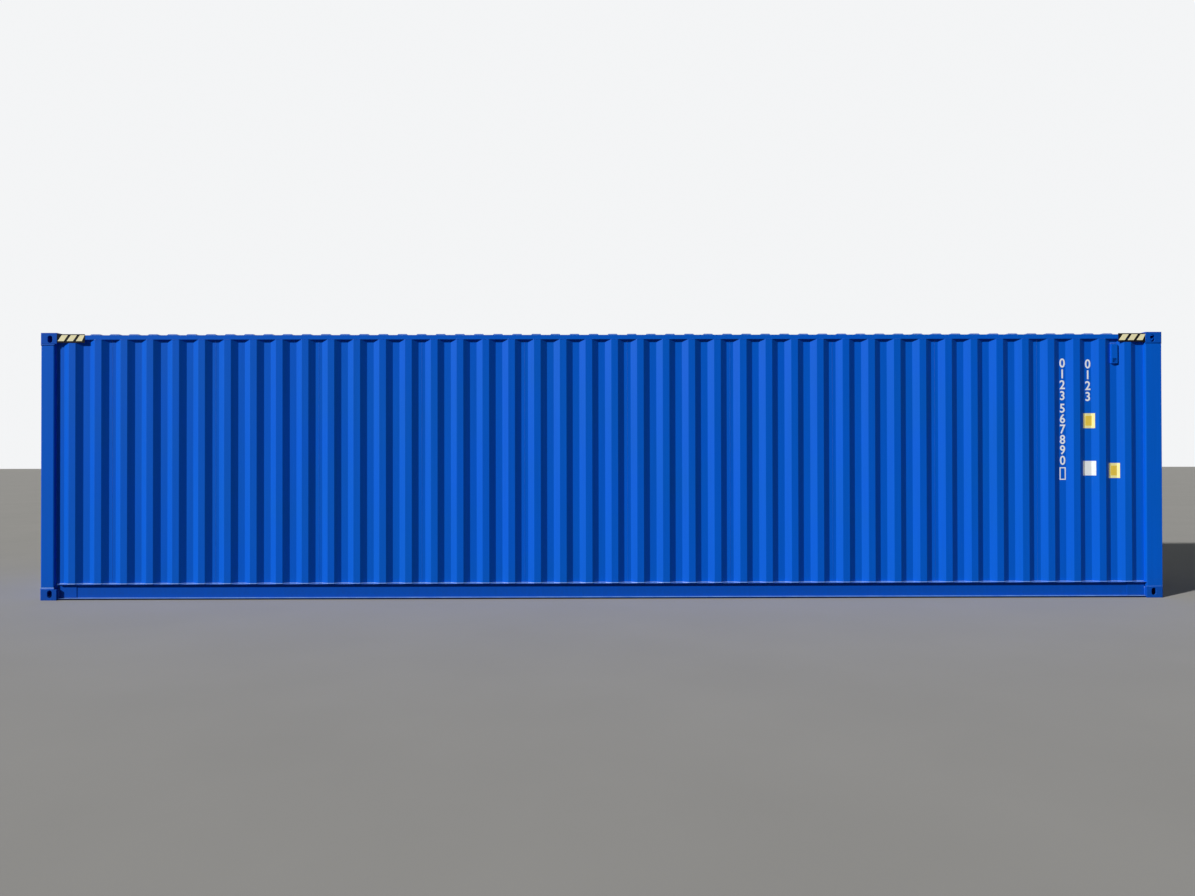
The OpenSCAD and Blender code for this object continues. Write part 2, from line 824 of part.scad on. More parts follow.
// Plywood boards in two rows, narrower beside the tunnel
module floor_boards() {
    behind = evenly_by(tunnel_end + floor_joint, floor_rear, floor_board);
    beside = evenly_by(floor_front, tunnel_end, floor_board);
    color([0.5, 0.33, 0.18]) for (side = [0, 1]) {
        mirror([0, side, 0]) translate([0, 0, floor_base]) {
            for (i = [0 : len(behind) - 2]) {
                translate([behind[i], floor_joint / 2, 0])
                    cube([behind[i + 1] - behind[i] - floor_joint, floor_half - floor_joint / 2, floor_thickness]);
            }
            for (i = [0 : len(beside) - 2]) {
                translate([beside[i], bow_half + floor_joint, 0])
                    cube([beside[i + 1] - beside[i] - floor_joint, floor_half - bow_half - floor_joint, floor_thickness]);
            }
        }
    }
}

// Even divisions of a stretch, each no longer than the given step
function evenly_by(from, to, step) =
    let (parts = ceil((to - from) / step))
    [for (i = [0 : parts]) from + (to - from) * i / parts];

// Places children drawn for one leaf. They are drawn inward from the door plane, X along the leaf from the middle.
module at_leaf(side) {
    translate([half_length - door_plane, 0, 0]) flip_y(side < 0) children();
}

// Leaf frame: two upright tubes joined by a top and a bottom channel
module leaf_frame(side) {
    inner = leaf_width - 2 * leaf_stile;
    beam = [
        [-leaf_depth, 0], [0, 0], [0, leaf_beam], [-leaf_depth, leaf_beam]
    ];
    paint() at_leaf(side) translate([0, leaf_split / 2, leaf_base]) {
        for (y = [0, leaf_width - leaf_stile]) {
            translate([-leaf_depth, y, 0]) linear_extrude(leaf_height) difference() {
                square([leaf_depth, leaf_stile]);
                translate([leaf_sheet, leaf_sheet])
                    square([leaf_depth - 2 * leaf_sheet, leaf_stile - 2 * leaf_sheet]);
            }
        }
        for (z = [0, leaf_height - leaf_beam]) {
            translate([0, 0, z]) run_y(leaf_stile, leaf_stile + inner)
                polygon(folded(beam, leaf_sheet, leaf_sheet));
        }
    }
}

// Door panel with pressed horizontal flutes
module leaf_panel(side) {
    first = (panel_pitch - flute_flat) / 2 - flute_slope;
    path = corrugation(panel_height, first, panel_flutes, panel_pitch, flute_flat, flute_slope, panel_depth);
    outer = [for (p = path) [-p[1], p[0]]];
    paint() at_leaf(side) translate([0, leaf_split / 2 + leaf_stile, panel_base])
        run_y(0, panel_width) polygon(folded(outer, panel_sheet, wall_bend));
}

// Rubber gasket round each leaf: a clasp on the leaf's edge and two lips that reach the frame
module door_gaskets() {
    color([0.05, 0.05, 0.05]) for (side = [-1, 1]) {
        at_leaf(side) translate([-leaf_depth, 0, sill_top]) {
            gasket_ring(gasket_depth, gasket_lip);
            gasket_ring(gasket_lip, leaf_gap);
            translate([gasket_depth - gasket_lip, 0, 0]) gasket_ring(gasket_lip, leaf_gap);
        }
    }
}

// Ring that lies against the leaf's edge and stands out from it by the given reach
module gasket_ring(depth, reach) {
    inner_edge = leaf_split / 2;
    centre_reach = min(reach, leaf_split / 2 - fit);
    frame_reach = min(reach, leaf_gap - fit);
    difference() {
        translate([0, inner_edge - centre_reach, leaf_gap - frame_reach])
            cube([depth, leaf_width + centre_reach + frame_reach, leaf_height + 2 * frame_reach]);
        translate([-1, inner_edge, leaf_gap]) cube([depth + 2, leaf_width, leaf_height]);
    }
}

// Places children at each lock rod of a leaf, on the rod's axis, turned so that +Y points to the other rod
module at_rods(side) {
    at_leaf(side) for (outer = [false, true]) {
        translate([rod_gap + rod_diameter / 2, leaf_middle + (outer ? 0.5 : -0.5) * rod_spacing, 0])
            flip_y(outer) children();
    }
}

// Tubular rods with a forged cam at each end, whose nose lies behind its keeper
module lock_rods(side) {
    half = cam_depth / 2;
    cam = [
        [-half, 0], [half, 0], [half, cam_width - 2 * cam_nose], [half - cam_nose / 2, cam_width - cam_nose],
        [half - cam_nose / 2, cam_width], [-half / 2, cam_width], [-half, cam_width - cam_nose]
    ];
    zinc() at_rods(side) {
        translate([0, 0, rod_foot]) difference() {
            cylinder(h = rod_head - rod_foot, d = rod_diameter);
            translate([0, 0, cam_height]) cylinder(h = rod_head - rod_foot - 2 * cam_height, d = rod_diameter - 2 * rod_wall);
        }
        for (z = [rod_foot, rod_head - cam_height]) {
            translate([0, 0, z]) linear_extrude(cam_height) polygon(cam);
        }
    }
}

// Bearing brackets that hold a lock rod against the leaf's frame and against the flats between the flutes
module guides(side) {
    radius = rod_diameter / 2 + guide_clearance;
    base = -rod_gap - rod_diameter / 2;
    levels = [
        leaf_base + leaf_beam / 2,
        panel_base + panel_pitch,
        panel_base + panel_height - panel_pitch,
        leaf_base + leaf_height - leaf_beam / 2
    ];
    zinc() at_rods(side) for (z = levels) {
        translate([0, 0, z - guide_height / 2]) linear_extrude(guide_height) difference() {
            union() {
                circle(r = radius + guide_sheet);
                translate([base, -radius - guide_sheet]) square([-base, 2 * radius + 2 * guide_sheet]);
                translate([base, -guide_width / 2]) square([guide_sheet, guide_width]);
            }
            circle(r = radius);
            translate([base - 1, -radius]) square([1 - base, 2 * radius]);
        }
    }
}

// Handle with a hub clamped on the rod and a flat bar that bends away from the leaf towards its grip
module handle() {
    hub = rod_diameter / 2 + rod_wall;
    half = handle_sheet / 2;
    bar = [
        [half, 0],
        [half, handle_bend],
        [half + handle_offset, handle_bend + 4 * handle_offset],
        [half + handle_offset, handle_length]
    ];
    difference() {
        union() {
            translate([0, 0, -handle_bar]) cylinder(h = 2 * handle_bar, r = hub);
            translate([0, 0, -handle_bar / 2]) linear_extrude(handle_bar)
                polygon(folded(bar, handle_sheet, handle_sheet / 2));
        }
        translate([0, 0, -handle_bar - 1]) cylinder(h = 2 * handle_bar + 2, r = rod_diameter / 2 + fit);
    }
}

// Catch on the leaf: a foot and two ears that reach over the handle's bar from below and above
module handle_catch() {
    leaf_face = rod_gap + rod_diameter / 2;
    reach = leaf_face + handle_offset + handle_sheet / 2 + catch_sheet;
    gap = handle_bar / 2 + fit;
    profile = [
        [0, -gap - catch_sheet], [reach, -gap - catch_sheet], [reach, catch_sheet - gap],
        [reach - catch_sheet + fit, catch_sheet - gap], [reach - catch_sheet + fit, -gap], [catch_sheet, -gap],
        [catch_sheet, gap], [reach - 2 * catch_sheet, gap], [reach - 2 * catch_sheet, gap + catch_sheet],
        [0, gap + catch_sheet]
    ];
    translate([-leaf_face, handle_length - catch_place, 0]) run_y(-catch_width / 2, catch_width / 2) polygon(profile);
}

module handles(side) {
    zinc() at_leaf(side) for (outer = [-1, 1]) {
        translate([rod_gap + rod_diameter / 2, leaf_middle + outer * rod_spacing / 2, handle_level + outer * handle_step / 2])
            flip_y(outer > 0) {
                handle();
                handle_catch();
            }
    }
}

// Keepers on the sill and header: each has a foot, a post beside the cam and a lip in front of the cam's nose
module door_keepers() {
    leaf_face = rod_gap + rod_diameter / 2;
    lip = leaf_face + cam_depth / 2 - cam_nose / 2 + fit;
    start = cam_width + fit;
    keeper = [
        [0, start], [0, start + keeper_foot], [keeper_sheet, start + keeper_foot],
        [keeper_sheet + cam_nose, start + keeper_sheet], [lip + keeper_sheet, start + keeper_sheet],
        [lip + keeper_sheet, start - cam_nose + 2 * fit], [lip, start - cam_nose + 2 * fit], [lip, start]
    ];
    zinc() for (side = [-1, 1], z = [rod_foot, rod_head - cam_height]) {
        at_rods(side) translate([-leaf_face, 0, z]) linear_extrude(cam_height) polygon(keeper);
    }
}

// Hinges: lugs on the post, a blade on the leaf and a pin through both
module hinges(side) {
    pin_x = door_plane - door_post_inset / 2;
    pin_y = half_width - post_setback - post_inner / 2;
    leaf_edge = opening_half - leaf_gap;
    blade = [
        [0, leaf_edge - hinge_reach], [hinge_blade, leaf_edge - hinge_reach],
        [hinge_blade, opening_half - leaf_gap], [pin_x + hinge_knuckle, pin_y], [pin_x, pin_y],
        [door_plane - door_post_inset + 1, opening_half], [0, leaf_edge]
    ];
    zinc() at_leaf(side) for (i = [0 : hinge_count - 1]) {
        z = leaf_base + hinge_end + (leaf_height - 2 * hinge_end) * i / (hinge_count - 1);
        translate([0, 0, z]) {
            translate([0, 0, -hinge_height / 2]) linear_extrude(hinge_height) {
                polygon(blade);
                translate([pin_x, pin_y]) circle(r = hinge_knuckle);
            }
            for (end = [-1, 1]) {
                translate([pin_x, pin_y, end * (hinge_height + lug_height) / 2 - lug_height / 2])
                    linear_extrude(lug_height) {
                        circle(r = hinge_knuckle);
                        translate([-door_post_inset / 2, -hinge_knuckle]) square([door_post_inset / 2, 2 * hinge_knuckle]);
                    }
            }
            translate([pin_x, pin_y, -hinge_height / 2 - lug_height - 3])
                cylinder(h = hinge_height + 2 * lug_height + 6, d = hinge_pin);
        }
    }
}

// Louvred cover in the second recess from the right-hand end of each side wall, as seen from outside
module ventilator() {
    half = vent_width / 2;
    shoulder = vent_height - vent_slope;
    outer = [[0, 0], [vent_depth, 0], [vent_depth, vent_height], [0, shoulder]];
    inner = [
        [vent_sheet, vent_sheet], [vent_depth + 1, vent_sheet],
        [vent_depth + 1, vent_height - vent_sheet], [vent_sheet, shoulder - vent_sheet]
    ];
    difference() {
        run_x(-half, half) polygon(outer);
        run_x(vent_sheet - half, half - vent_sheet) polygon(inner);
        for (i = [0 : vent_slots - 1]) {
            translate([vent_margin - half, -1, vent_margin + i * vent_pitch])
                cube([vent_width - 2 * vent_margin, vent_sheet + 2, vent_slot]);
        }
    }
}

module ventilators() {
    recess_outer = rail_setback + side_depth;
    from_start = side_first + (side_crests - 1) * side_pitch - side_recess / 2;
    x_left = -half_length + side_wall_start + from_start;
    x_right = -half_length + side_wall_start + side_first + side_pitch - side_recess / 2;
    base = top_rail_base - vent_drop - vent_height;
    paint() {
        translate([x_left, -half_width + recess_outer - vent_depth, base]) ventilator();
        translate([x_right, half_width - recess_outer + vent_depth, base]) mirror([0, 1, 0]) ventilator();
    }
}

bottom_casting(-1, -1);  // casting_front_left_bottom
bottom_casting(-1, 1);  // casting_front_right_bottom
bottom_casting(1, -1);  // casting_door_left_bottom
bottom_casting(1, 1);  // casting_door_right_bottom
top_casting(-1, -1);  // casting_front_left_top
top_casting(-1, 1);  // casting_front_right_top
top_casting(1, -1);  // casting_door_left_top
top_casting(1, 1);  // casting_door_right_top
front_post(-1);  // front_post_left
front_post(1);  // front_post_right
door_post(-1);  // door_post_left
door_post(1);  // door_post_right
top_rail(-1);  // top_rail_left
top_rail(1);  // top_rail_right
bottom_rail(-1);  // bottom_rail_left
bottom_rail(1);  // bottom_rail_right
top_rail_plates();
front_header();
front_sill();
door_header();
door_sill();
side_wall(-1);  // left_side_wall
side_wall(1);  // right_side_wall
front_wall();
roof_panel();
roof_end_plates();
floor_boards();
crossmembers();
outriggers();
tunnel_bows();
tunnel_plate();
leaf_frame(-1);  // left_door_frame
leaf_frame(1);  // right_door_frame
leaf_panel(-1);  // left_door_panel
leaf_panel(1);  // right_door_panel
door_gaskets();
lock_rods(-1);  // left_door_lock_rods
lock_rods(1);  // right_door_lock_rods
guides(-1);  // left_door_guides
guides(1);  // right_door_guides
handles(-1);  // left_door_handles
handles(1);  // right_door_handles
door_keepers();
hinges(-1);  // left_door_hinges
hinges(1);  // right_door_hinges
ventilators();
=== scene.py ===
import math

import bpy
import numpy as np
from mathutils import Matrix, Vector


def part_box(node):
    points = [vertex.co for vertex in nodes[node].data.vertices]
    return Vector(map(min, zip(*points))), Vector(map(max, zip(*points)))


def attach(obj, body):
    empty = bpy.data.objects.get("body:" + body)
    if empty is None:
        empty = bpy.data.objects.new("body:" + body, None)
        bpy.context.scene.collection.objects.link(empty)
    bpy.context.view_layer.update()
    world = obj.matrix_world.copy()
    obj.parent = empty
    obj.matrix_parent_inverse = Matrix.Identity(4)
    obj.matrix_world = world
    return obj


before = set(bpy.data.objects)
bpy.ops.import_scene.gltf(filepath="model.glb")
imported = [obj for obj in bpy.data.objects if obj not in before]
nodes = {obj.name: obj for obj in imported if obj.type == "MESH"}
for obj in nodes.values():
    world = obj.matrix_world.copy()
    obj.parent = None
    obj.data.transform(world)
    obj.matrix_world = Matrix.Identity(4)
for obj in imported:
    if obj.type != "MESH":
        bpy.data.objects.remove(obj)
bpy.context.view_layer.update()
print("frame:", len(nodes), "nodes")

# Camera at the photograph's viewpoint. Angles in degrees: turn to the left, rise, and roll to the left.
camera = {"place": (-0.12, -10.96, 1.576), "turn": -0.33, "rise": 0.37, "roll": -0.10,
          "lens": 27.02, "sensor": 36, "reach": 400}


def makeCamera(setup):
    turn, rise, roll = (math.radians(setup[key]) for key in ("turn", "rise", "roll"))
    forward = Vector((-math.sin(turn) * math.cos(rise), math.cos(turn) * math.cos(rise), math.sin(rise)))
    level = Vector((math.cos(turn), math.sin(turn), 0))
    right = level * math.cos(roll) + level.cross(forward) * math.sin(roll)
    data = bpy.data.cameras.new("camera")
    data.lens, data.sensor_width, data.clip_end = setup["lens"], setup["sensor"], setup["reach"]
    made = bpy.data.objects.new("camera", data)
    bpy.context.scene.collection.objects.link(made)
    turned = Matrix((right, right.cross(forward), -forward)).transposed().to_4x4()
    made.matrix_world = Matrix.Translation(setup["place"]) @ turned
    bpy.context.scene.camera = made


# Key light from the left front, as degrees left of the view and over the floor, and the room's even light
light = {"left": 54, "over": 26, "key": 3.75, "softness": 2.5, "keyColour": (1.0, 0.985, 0.94),
         "room": 0.07, "roomColour": (0.78, 0.9, 1.0, 1),
         "backdrop": 0.92, "backdropColour": (0.98, 0.99, 1.0, 1)}


def makeLight(setup):
    left, over = math.radians(setup["left"]), math.radians(setup["over"])
    travel = Vector((math.sin(left) * math.cos(over), math.cos(left) * math.cos(over), -math.sin(over)))
    lamp = bpy.data.lights.new("key", "SUN")
    lamp.energy, lamp.angle, lamp.color = setup["key"], math.radians(setup["softness"]), setup["keyColour"]
    made = bpy.data.objects.new("key", lamp)
    made.rotation_euler = travel.to_track_quat("-Z", "Y").to_euler()
    bpy.context.scene.collection.objects.link(made)
    world = bpy.data.worlds.new("room")
    bpy.context.scene.world = world
    world.use_nodes = True
    tree = world.node_tree
    tree.nodes.clear()
    seen = seenRays(tree)
    back = addNode(tree, "Background", {
        "Color": mixColour(tree, seen, setup["roomColour"], setup["backdropColour"]),
        "Strength": spread(tree, seen, 0, 1, setup["room"], setup["backdrop"])})
    addNode(tree, "OutputWorld", {"Surface": back.outputs["Background"]})


# Node helpers

def join(tree, inputs, values):
    # Gives each named input its value, or a link from another node's output
    for name, value in values.items():
        if isinstance(value, bpy.types.NodeSocket):
            tree.links.new(value, inputs[name])
        else:
            inputs[name].default_value = value


def addNode(tree, kind, values=None, **settings):
    node = tree.nodes.new("ShaderNode" + kind)
    for name, value in settings.items():
        setattr(node, name, value)
    join(tree, node.inputs, values or {})
    return node


def calc(tree, operation, a, b, clamp=False):
    return addNode(tree, "Math", {0: a, 1: b}, operation=operation, use_clamp=clamp).outputs[0]


def plus(tree, a, b):
    return calc(tree, "ADD", a, b)


def times(tree, a, b):
    return calc(tree, "MULTIPLY", a, b)


def dot(tree, a, b):
    return addNode(tree, "VectorMath", {0: a, 1: b}, operation="DOT_PRODUCT").outputs["Value"]


def spread(tree, value, low, high, toLow=0.0, toHigh=1.0):
    # Stretches low..high to toLow..toHigh, held at both ends
    values = {"Value": value, "From Min": low, "From Max": high, "To Min": toLow, "To Max": toHigh}
    return addNode(tree, "MapRange", values).outputs["Result"]


def noise(tree, coords, scale, detail=2.0, roughness=0.5):
    values = {"Vector": coords, "Scale": scale, "Detail": detail, "Roughness": roughness}
    return addNode(tree, "TexNoise", values).outputs["Fac"]


def stretched(tree, coords, factors):
    return addNode(tree, "Mapping", {"Vector": coords, "Scale": factors}).outputs["Vector"]


def mixColour(tree, factor, a, b):
    return addNode(tree, "Mix", {0: factor, 6: a, 7: b}, data_type="RGBA").outputs[2]


def mixValue(tree, factor, a, b):
    return addNode(tree, "Mix", {0: factor, 2: a, 3: b}, data_type="FLOAT").outputs[0]


def shaded(tree, colour, factor):
    # The colour made lighter or darker by a factor
    return addNode(tree, "HueSaturation", {"Color": colour, "Value": factor}).outputs["Color"]


def bumped(tree, height, normal=None):
    # The normal that a height in metres gives to a surface
    given = {} if normal is None else {"Normal": normal}
    return addNode(tree, "Bump", {"Height": height, "Distance": 1.0, **given}).outputs["Normal"]


def seenRays(tree):
    # 1 for what the camera sees, straight, in a reflection or through glass
    rays = addNode(tree, "LightPath").outputs
    seen = calc(tree, "MAXIMUM", rays["Is Camera Ray"], rays["Is Glossy Ray"])
    return calc(tree, "MAXIMUM", seen, rays["Is Transmission Ray"])


def startGroup(name, inputs, outputs):
    # Every group takes the place on the object, and the kind of its other inputs follows from their values
    tree = bpy.data.node_groups.new(name, "ShaderNodeTree")
    tree.interface.new_socket("Place", in_out="INPUT", socket_type="NodeSocketVector")
    for label, value in inputs.items():
        kind = {1: "Float", 3: "Vector", 4: "Color"}[np.size(value)]
        socket = tree.interface.new_socket(label, in_out="INPUT", socket_type="NodeSocket" + kind)
        socket.default_value = value
    for label, kind in outputs.items():
        tree.interface.new_socket(label, in_out="OUTPUT", socket_type="NodeSocket" + kind)
    return tree, tree.nodes.new("NodeGroupInput").outputs, tree.nodes.new("NodeGroupOutput").inputs


def useGroup(tree, group, values):
    node = tree.nodes.new("ShaderNodeGroup")
    node.node_tree = group
    join(tree, node.inputs, values)
    return node.outputs


# Effects that several finishes share

def makePaintTone():
    # Slow drift of the colour over a metre, and faint upright runs where rain has cleaned the dust
    tree, given, out = startGroup("paintTone", {"Colour": (0.5, 0.5, 0.5, 1), "Drift": 0.1, "Runs": 0.1},
                                  {"Colour": "Color", "Shade": "Float"})
    place = given["Place"]
    cloud = spread(tree, noise(tree, place, 1.3, 3), 0.3, 0.7, -1, 1)
    runs = spread(tree, noise(tree, stretched(tree, place, (34, 34, 0.8)), 1.0, 3), 0.35, 0.75, -1, 1)
    speck = spread(tree, noise(tree, place, 90, 2), 0.3, 0.7, -0.25, 0.25)
    shade = plus(tree, times(tree, cloud, given["Drift"]), times(tree, runs, given["Runs"]))
    shade = plus(tree, shade, times(tree, speck, given["Drift"]))
    toned = addNode(tree, "HueSaturation", {"Color": given["Colour"], "Value": plus(tree, shade, 1.0),
                                            "Hue": plus(tree, times(tree, cloud, 0.0015), 0.5)})
    join(tree, out, {"Colour": toned.outputs["Color"], "Shade": shade})
    return tree


def makeSprayedSurface():
    # Heights in metres: wide soft dents of rolled sheet, and the fine orange peel of sprayed enamel
    tree, given, out = startGroup("sprayedSurface", {"Dents": 0.001, "Peel": 0.00002}, {"Height": "Float"})
    place = given["Place"]
    dents = times(tree, noise(tree, stretched(tree, place, (1, 1, 0.45)), 3.2, 1), given["Dents"])
    peel = times(tree, noise(tree, place, 260, 2, 0.6), given["Peel"])
    join(tree, out, {"Height": plus(tree, dents, peel)})
    return tree


def makeEdgeWear():
    # An edge is where the rounded normal leaves the true one, and a patchy noise says where it is rubbed
    tree, given, out = startGroup("edgeWear", {"Radius": 0.003, "Amount": 0.5},
                                  {"Mask": "Float", "Normal": "Vector"})
    rounded = addNode(tree, "Bevel", {"Radius": given["Radius"]}, samples=3).outputs["Normal"]
    edge = spread(tree, dot(tree, rounded, addNode(tree, "NewGeometry").outputs["Normal"]), 0.985, 0.86)
    patches = noise(tree, given["Place"], 9, 5, 0.7)
    grit = noise(tree, given["Place"], 150, 3, 0.7)
    broken = plus(tree, patches, times(tree, grit, 0.35))
    limit = calc(tree, "SUBTRACT", 1.02, times(tree, given["Amount"], 0.5))
    rubbed = calc(tree, "MULTIPLY", calc(tree, "SUBTRACT", broken, limit), 9, clamp=True)
    join(tree, out, {"Mask": times(tree, edge, rubbed), "Normal": rounded})
    return tree


def makeDustAndPaintedLight():
    # Dust lies on faces that look up. On enamel its pale blue there is also a painted highlight on ledges.
    # Splashes rise from the ground and thin out upwards, and they darken the enamel there: dirt and painted
    # shade.
    tree, given, out = startGroup("dustAndHighlight", {"LyingAndHighlight": 0.3, "SplashAndShade": 0.2},
                                  {"LyingAndHighlight": "Float", "GrimeAndShade": "Float", "Up": "Float"})
    place = given["Place"]
    height = addNode(tree, "SeparateXYZ", {0: place}).outputs["Z"]
    normal = addNode(tree, "NewGeometry").outputs["Normal"]
    flat = spread(tree, addNode(tree, "SeparateXYZ", {0: normal}).outputs["Z"], 0.3, 0.95)
    patches = spread(tree, noise(tree, place, 5, 5, 0.65), 0.25, 0.75, 0.35, 1)
    lying = times(tree, times(tree, flat, given["LyingAndHighlight"]), patches)
    low = calc(tree, "POWER", spread(tree, height, 0.55, 0.0), 2.0)
    drops = spread(tree, noise(tree, place, 45, 4, 0.7), 0.45, 0.7)
    splash = times(tree, times(tree, low, given["SplashAndShade"]), spread(tree, drops, 0, 1, 0.45, 1))
    grimeAndShade = calc(tree, "MULTIPLY", splash, patches, clamp=True)
    join(tree, out, {"LyingAndHighlight": lying, "GrimeAndShade": grimeAndShade, "Up": flat})
    return tree


def makeInnerSide():
    # 1 on faces that look towards the middle of the container along the given direction
    tree, given, out = startGroup("innerSide", {"Direction": (0, 1, 0), "Middle": 0.0}, {"Mask": "Float"})
    facing = dot(tree, addNode(tree, "NewGeometry").outputs["Normal"], given["Direction"])
    along = dot(tree, given["Place"], given["Direction"])
    inward = times(tree, facing, calc(tree, "SUBTRACT", along, given["Middle"]))
    join(tree, out, {"Mask": calc(tree, "LESS_THAN", inward, -0.001)})
    return tree


def makeSpangle():
    # Zinc freezes in flat crystals: cells of slightly different brightness, with thin darker borders
    tree, given, out = startGroup("zincSpangle", {"Size": 0.012}, {"Tone": "Float", "Height": "Float"})
    place = given["Place"]
    bend = addNode(tree, "TexNoise", {"Vector": place, "Scale": 160.0}).outputs["Color"]
    bend = addNode(tree, "VectorMath", {0: bend, "Scale": 0.004}, operation="SCALE").outputs["Vector"]
    bent = addNode(tree, "VectorMath", {0: place, 1: bend}, operation="ADD").outputs["Vector"]
    values = {"Vector": bent, "Scale": calc(tree, "DIVIDE", 1.0, given["Size"])}
    cells = addNode(tree, "TexVoronoi", values).outputs["Color"]
    border = addNode(tree, "TexVoronoi", values, feature="DISTANCE_TO_EDGE").outputs["Distance"]
    shade = addNode(tree, "SeparateColor", {0: cells}).outputs["Red"]
    tone = times(tree, spread(tree, shade, 0, 1, 0.8, 1.1), spread(tree, border, 0, 0.07, 0.86, 1))
    clouds = spread(tree, noise(tree, place, 7, 4), 0.3, 0.7, 0.88, 1.06)
    join(tree, out, {"Tone": times(tree, tone, clouds), "Height": times(tree, shade, 0.00004)})
    return tree


def makeScratches():
    # Hair-thin rubs, level and slanted: very stretched noises cut at their crests, broken by a coarser one
    tree, given, out = startGroup("scratches", {"Amount": 0.4}, {"Mask": "Float"})
    place = given["Place"]
    level = noise(tree, stretched(tree, place, (6, 6, 260)), 1.0, 2)
    values = {"Vector": place, "Rotation": (0.5, 0.7, 0.3), "Scale": (240, 240, 5)}
    turned = addNode(tree, "Mapping", values)
    slanted = noise(tree, turned.outputs["Vector"], 1.0, 2)
    both = calc(tree, "MAXIMUM", spread(tree, level, 0.7, 0.76), spread(tree, slanted, 0.7, 0.76))
    patch = spread(tree, noise(tree, place, 4, 3), 0.5, 0.75)
    join(tree, out, {"Mask": times(tree, times(tree, both, patch), given["Amount"])})
    return tree


paintTone, sprayedSurface, edgeWear = makePaintTone(), makeSprayedSurface(), makeEdgeWear()
dustAndHighlight, innerSide, spangle, scratches = makeDustAndPaintedLight(), makeInnerSide(), makeSpangle(), makeScratches()
print("shared effects ready")


# Finishes

def startMaterial(name, values):
    # A material with one Principled shader, whose constant sockets are set by name
    made = bpy.data.materials.new(name)
    made.use_nodes = True
    tree = made.node_tree
    tree.nodes.clear()
    shader = addNode(tree, "BsdfPrincipled", values)
    addNode(tree, "OutputMaterial", {"Surface": shader.outputs["BSDF"]})
    return made, tree, shader.inputs, addNode(tree, "TexCoord").outputs["Object"]


# The enamel of every painted piece. Each finish further down names only what differs from it.
enamel = {"colour": (0.001, 0.112, 0.66, 1), "roughness": 0.45, "gloss": 0.08,
          "drift": 0.035, "runs": 0.03, "shadeRoughness": -0.4, "peel": 0.00002, "dents": 0.0008,
          "wear": 0.2, "radius": 0.0025, "rubs": 0.1, "filmThickness": 0.00006,
          # The primer's pale blue also paints highlights on rubbed edges.
          "primerAndHighlight": (0.22, 0.35, 0.6, 1), "primerRoughness": 0.6, "lying": 0.12, "splash": 0.1,
          # The dust's pale blue also paints a highlight on what looks up, and the near black grime paints
          # shade low down.
          "dustAndHighlight": (0.32, 0.55, 0.92, 1), "dustRoughness": 0.85, "grimeAndShade": (0.02, 0.022, 0.028, 1),
          "inward": None, "middle": 0.0, "lining": (0.52, 0.54, 0.52, 1),
          "pooled": 0.85, "poolRoughness": 0.27, "levelled": 0.6, "levelRoughness": 0.15}


def makeEnamel(name, **changes):
    # Sprayed enamel: toned colour, primer where rubbed, grime low down, dust over it, orange peel and dents
    # in the normal. The pale primer also paints highlights on edges, the pale dust paints a highlight on what
    # looks up, and the dark grime paints shade low down.
    # On flat tops it ran level while wet, so it is smoother there and has a glossy skin.
    setup = {**enamel, **changes}
    made, tree, shader, place = startMaterial(name, {"Specular IOR Level": setup["gloss"],
                                                     "Coat Roughness": setup["poolRoughness"]})
    tone = useGroup(tree, paintTone, {"Place": place, "Colour": setup["colour"], "Drift": setup["drift"],
                                      "Runs": setup["runs"]})
    film = tone["Colour"]
    if setup["inward"]:
        inside = useGroup(tree, innerSide, {"Place": place, "Direction": setup["inward"],
                                            "Middle": setup["middle"]})
        film = mixColour(tree, inside["Mask"], film, setup["lining"])
    edge = useGroup(tree, edgeWear, {"Place": place, "Radius": setup["radius"], "Amount": setup["wear"]})
    rubbed = useGroup(tree, scratches, {"Place": place, "Amount": setup["rubs"]})
    worn = calc(tree, "MAXIMUM", edge["Mask"], rubbed["Mask"])
    dirt = useGroup(tree, dustAndHighlight, {"Place": place, "LyingAndHighlight": setup["lying"], "SplashAndShade": setup["splash"]})
    # Rubbed edges take the primer, whose pale blue also paints highlights there.
    film = mixColour(tree, worn, film, setup["primerAndHighlight"])
    # Grime darkens the enamel near the ground: dirt, and painted shade low down.
    film = mixColour(tree, dirt["GrimeAndShade"], film, setup["grimeAndShade"])
    # Dust lightens what looks up: dust, and a painted highlight on ledges and bead tops.
    film = mixColour(tree, dirt["LyingAndHighlight"], film, setup["dustAndHighlight"])
    rough = plus(tree, times(tree, tone["Shade"], setup["shadeRoughness"]), setup["roughness"])
    rough = mixValue(tree, times(tree, dirt["Up"], setup["levelled"]), rough, setup["levelRoughness"])
    rough = mixValue(tree, worn, rough, setup["primerRoughness"])
    rough = mixValue(tree, dirt["LyingAndHighlight"], rough, setup["dustRoughness"])
    spray = useGroup(tree, sprayedSurface, {"Place": place, "Dents": setup["dents"], "Peel": setup["peel"]})
    height = calc(tree, "SUBTRACT", spray["Height"], times(tree, worn, setup["filmThickness"]))
    join(tree, shader, {"Base Color": film, "Roughness": rough,
                        "Normal": bumped(tree, height, edge["Normal"]),
                        "Coat Weight": times(tree, dirt["Up"], setup["pooled"])})
    return made


zinc = {"colour": (0.46, 0.48, 0.5, 1), "stain": (0.62, 0.63, 0.62, 1), "stainRoughness": 0.35,
        "bright": (0.8, 0.8, 0.8, 1), "brightRoughness": 0.25, "size": 0.011, "radius": 0.0015}


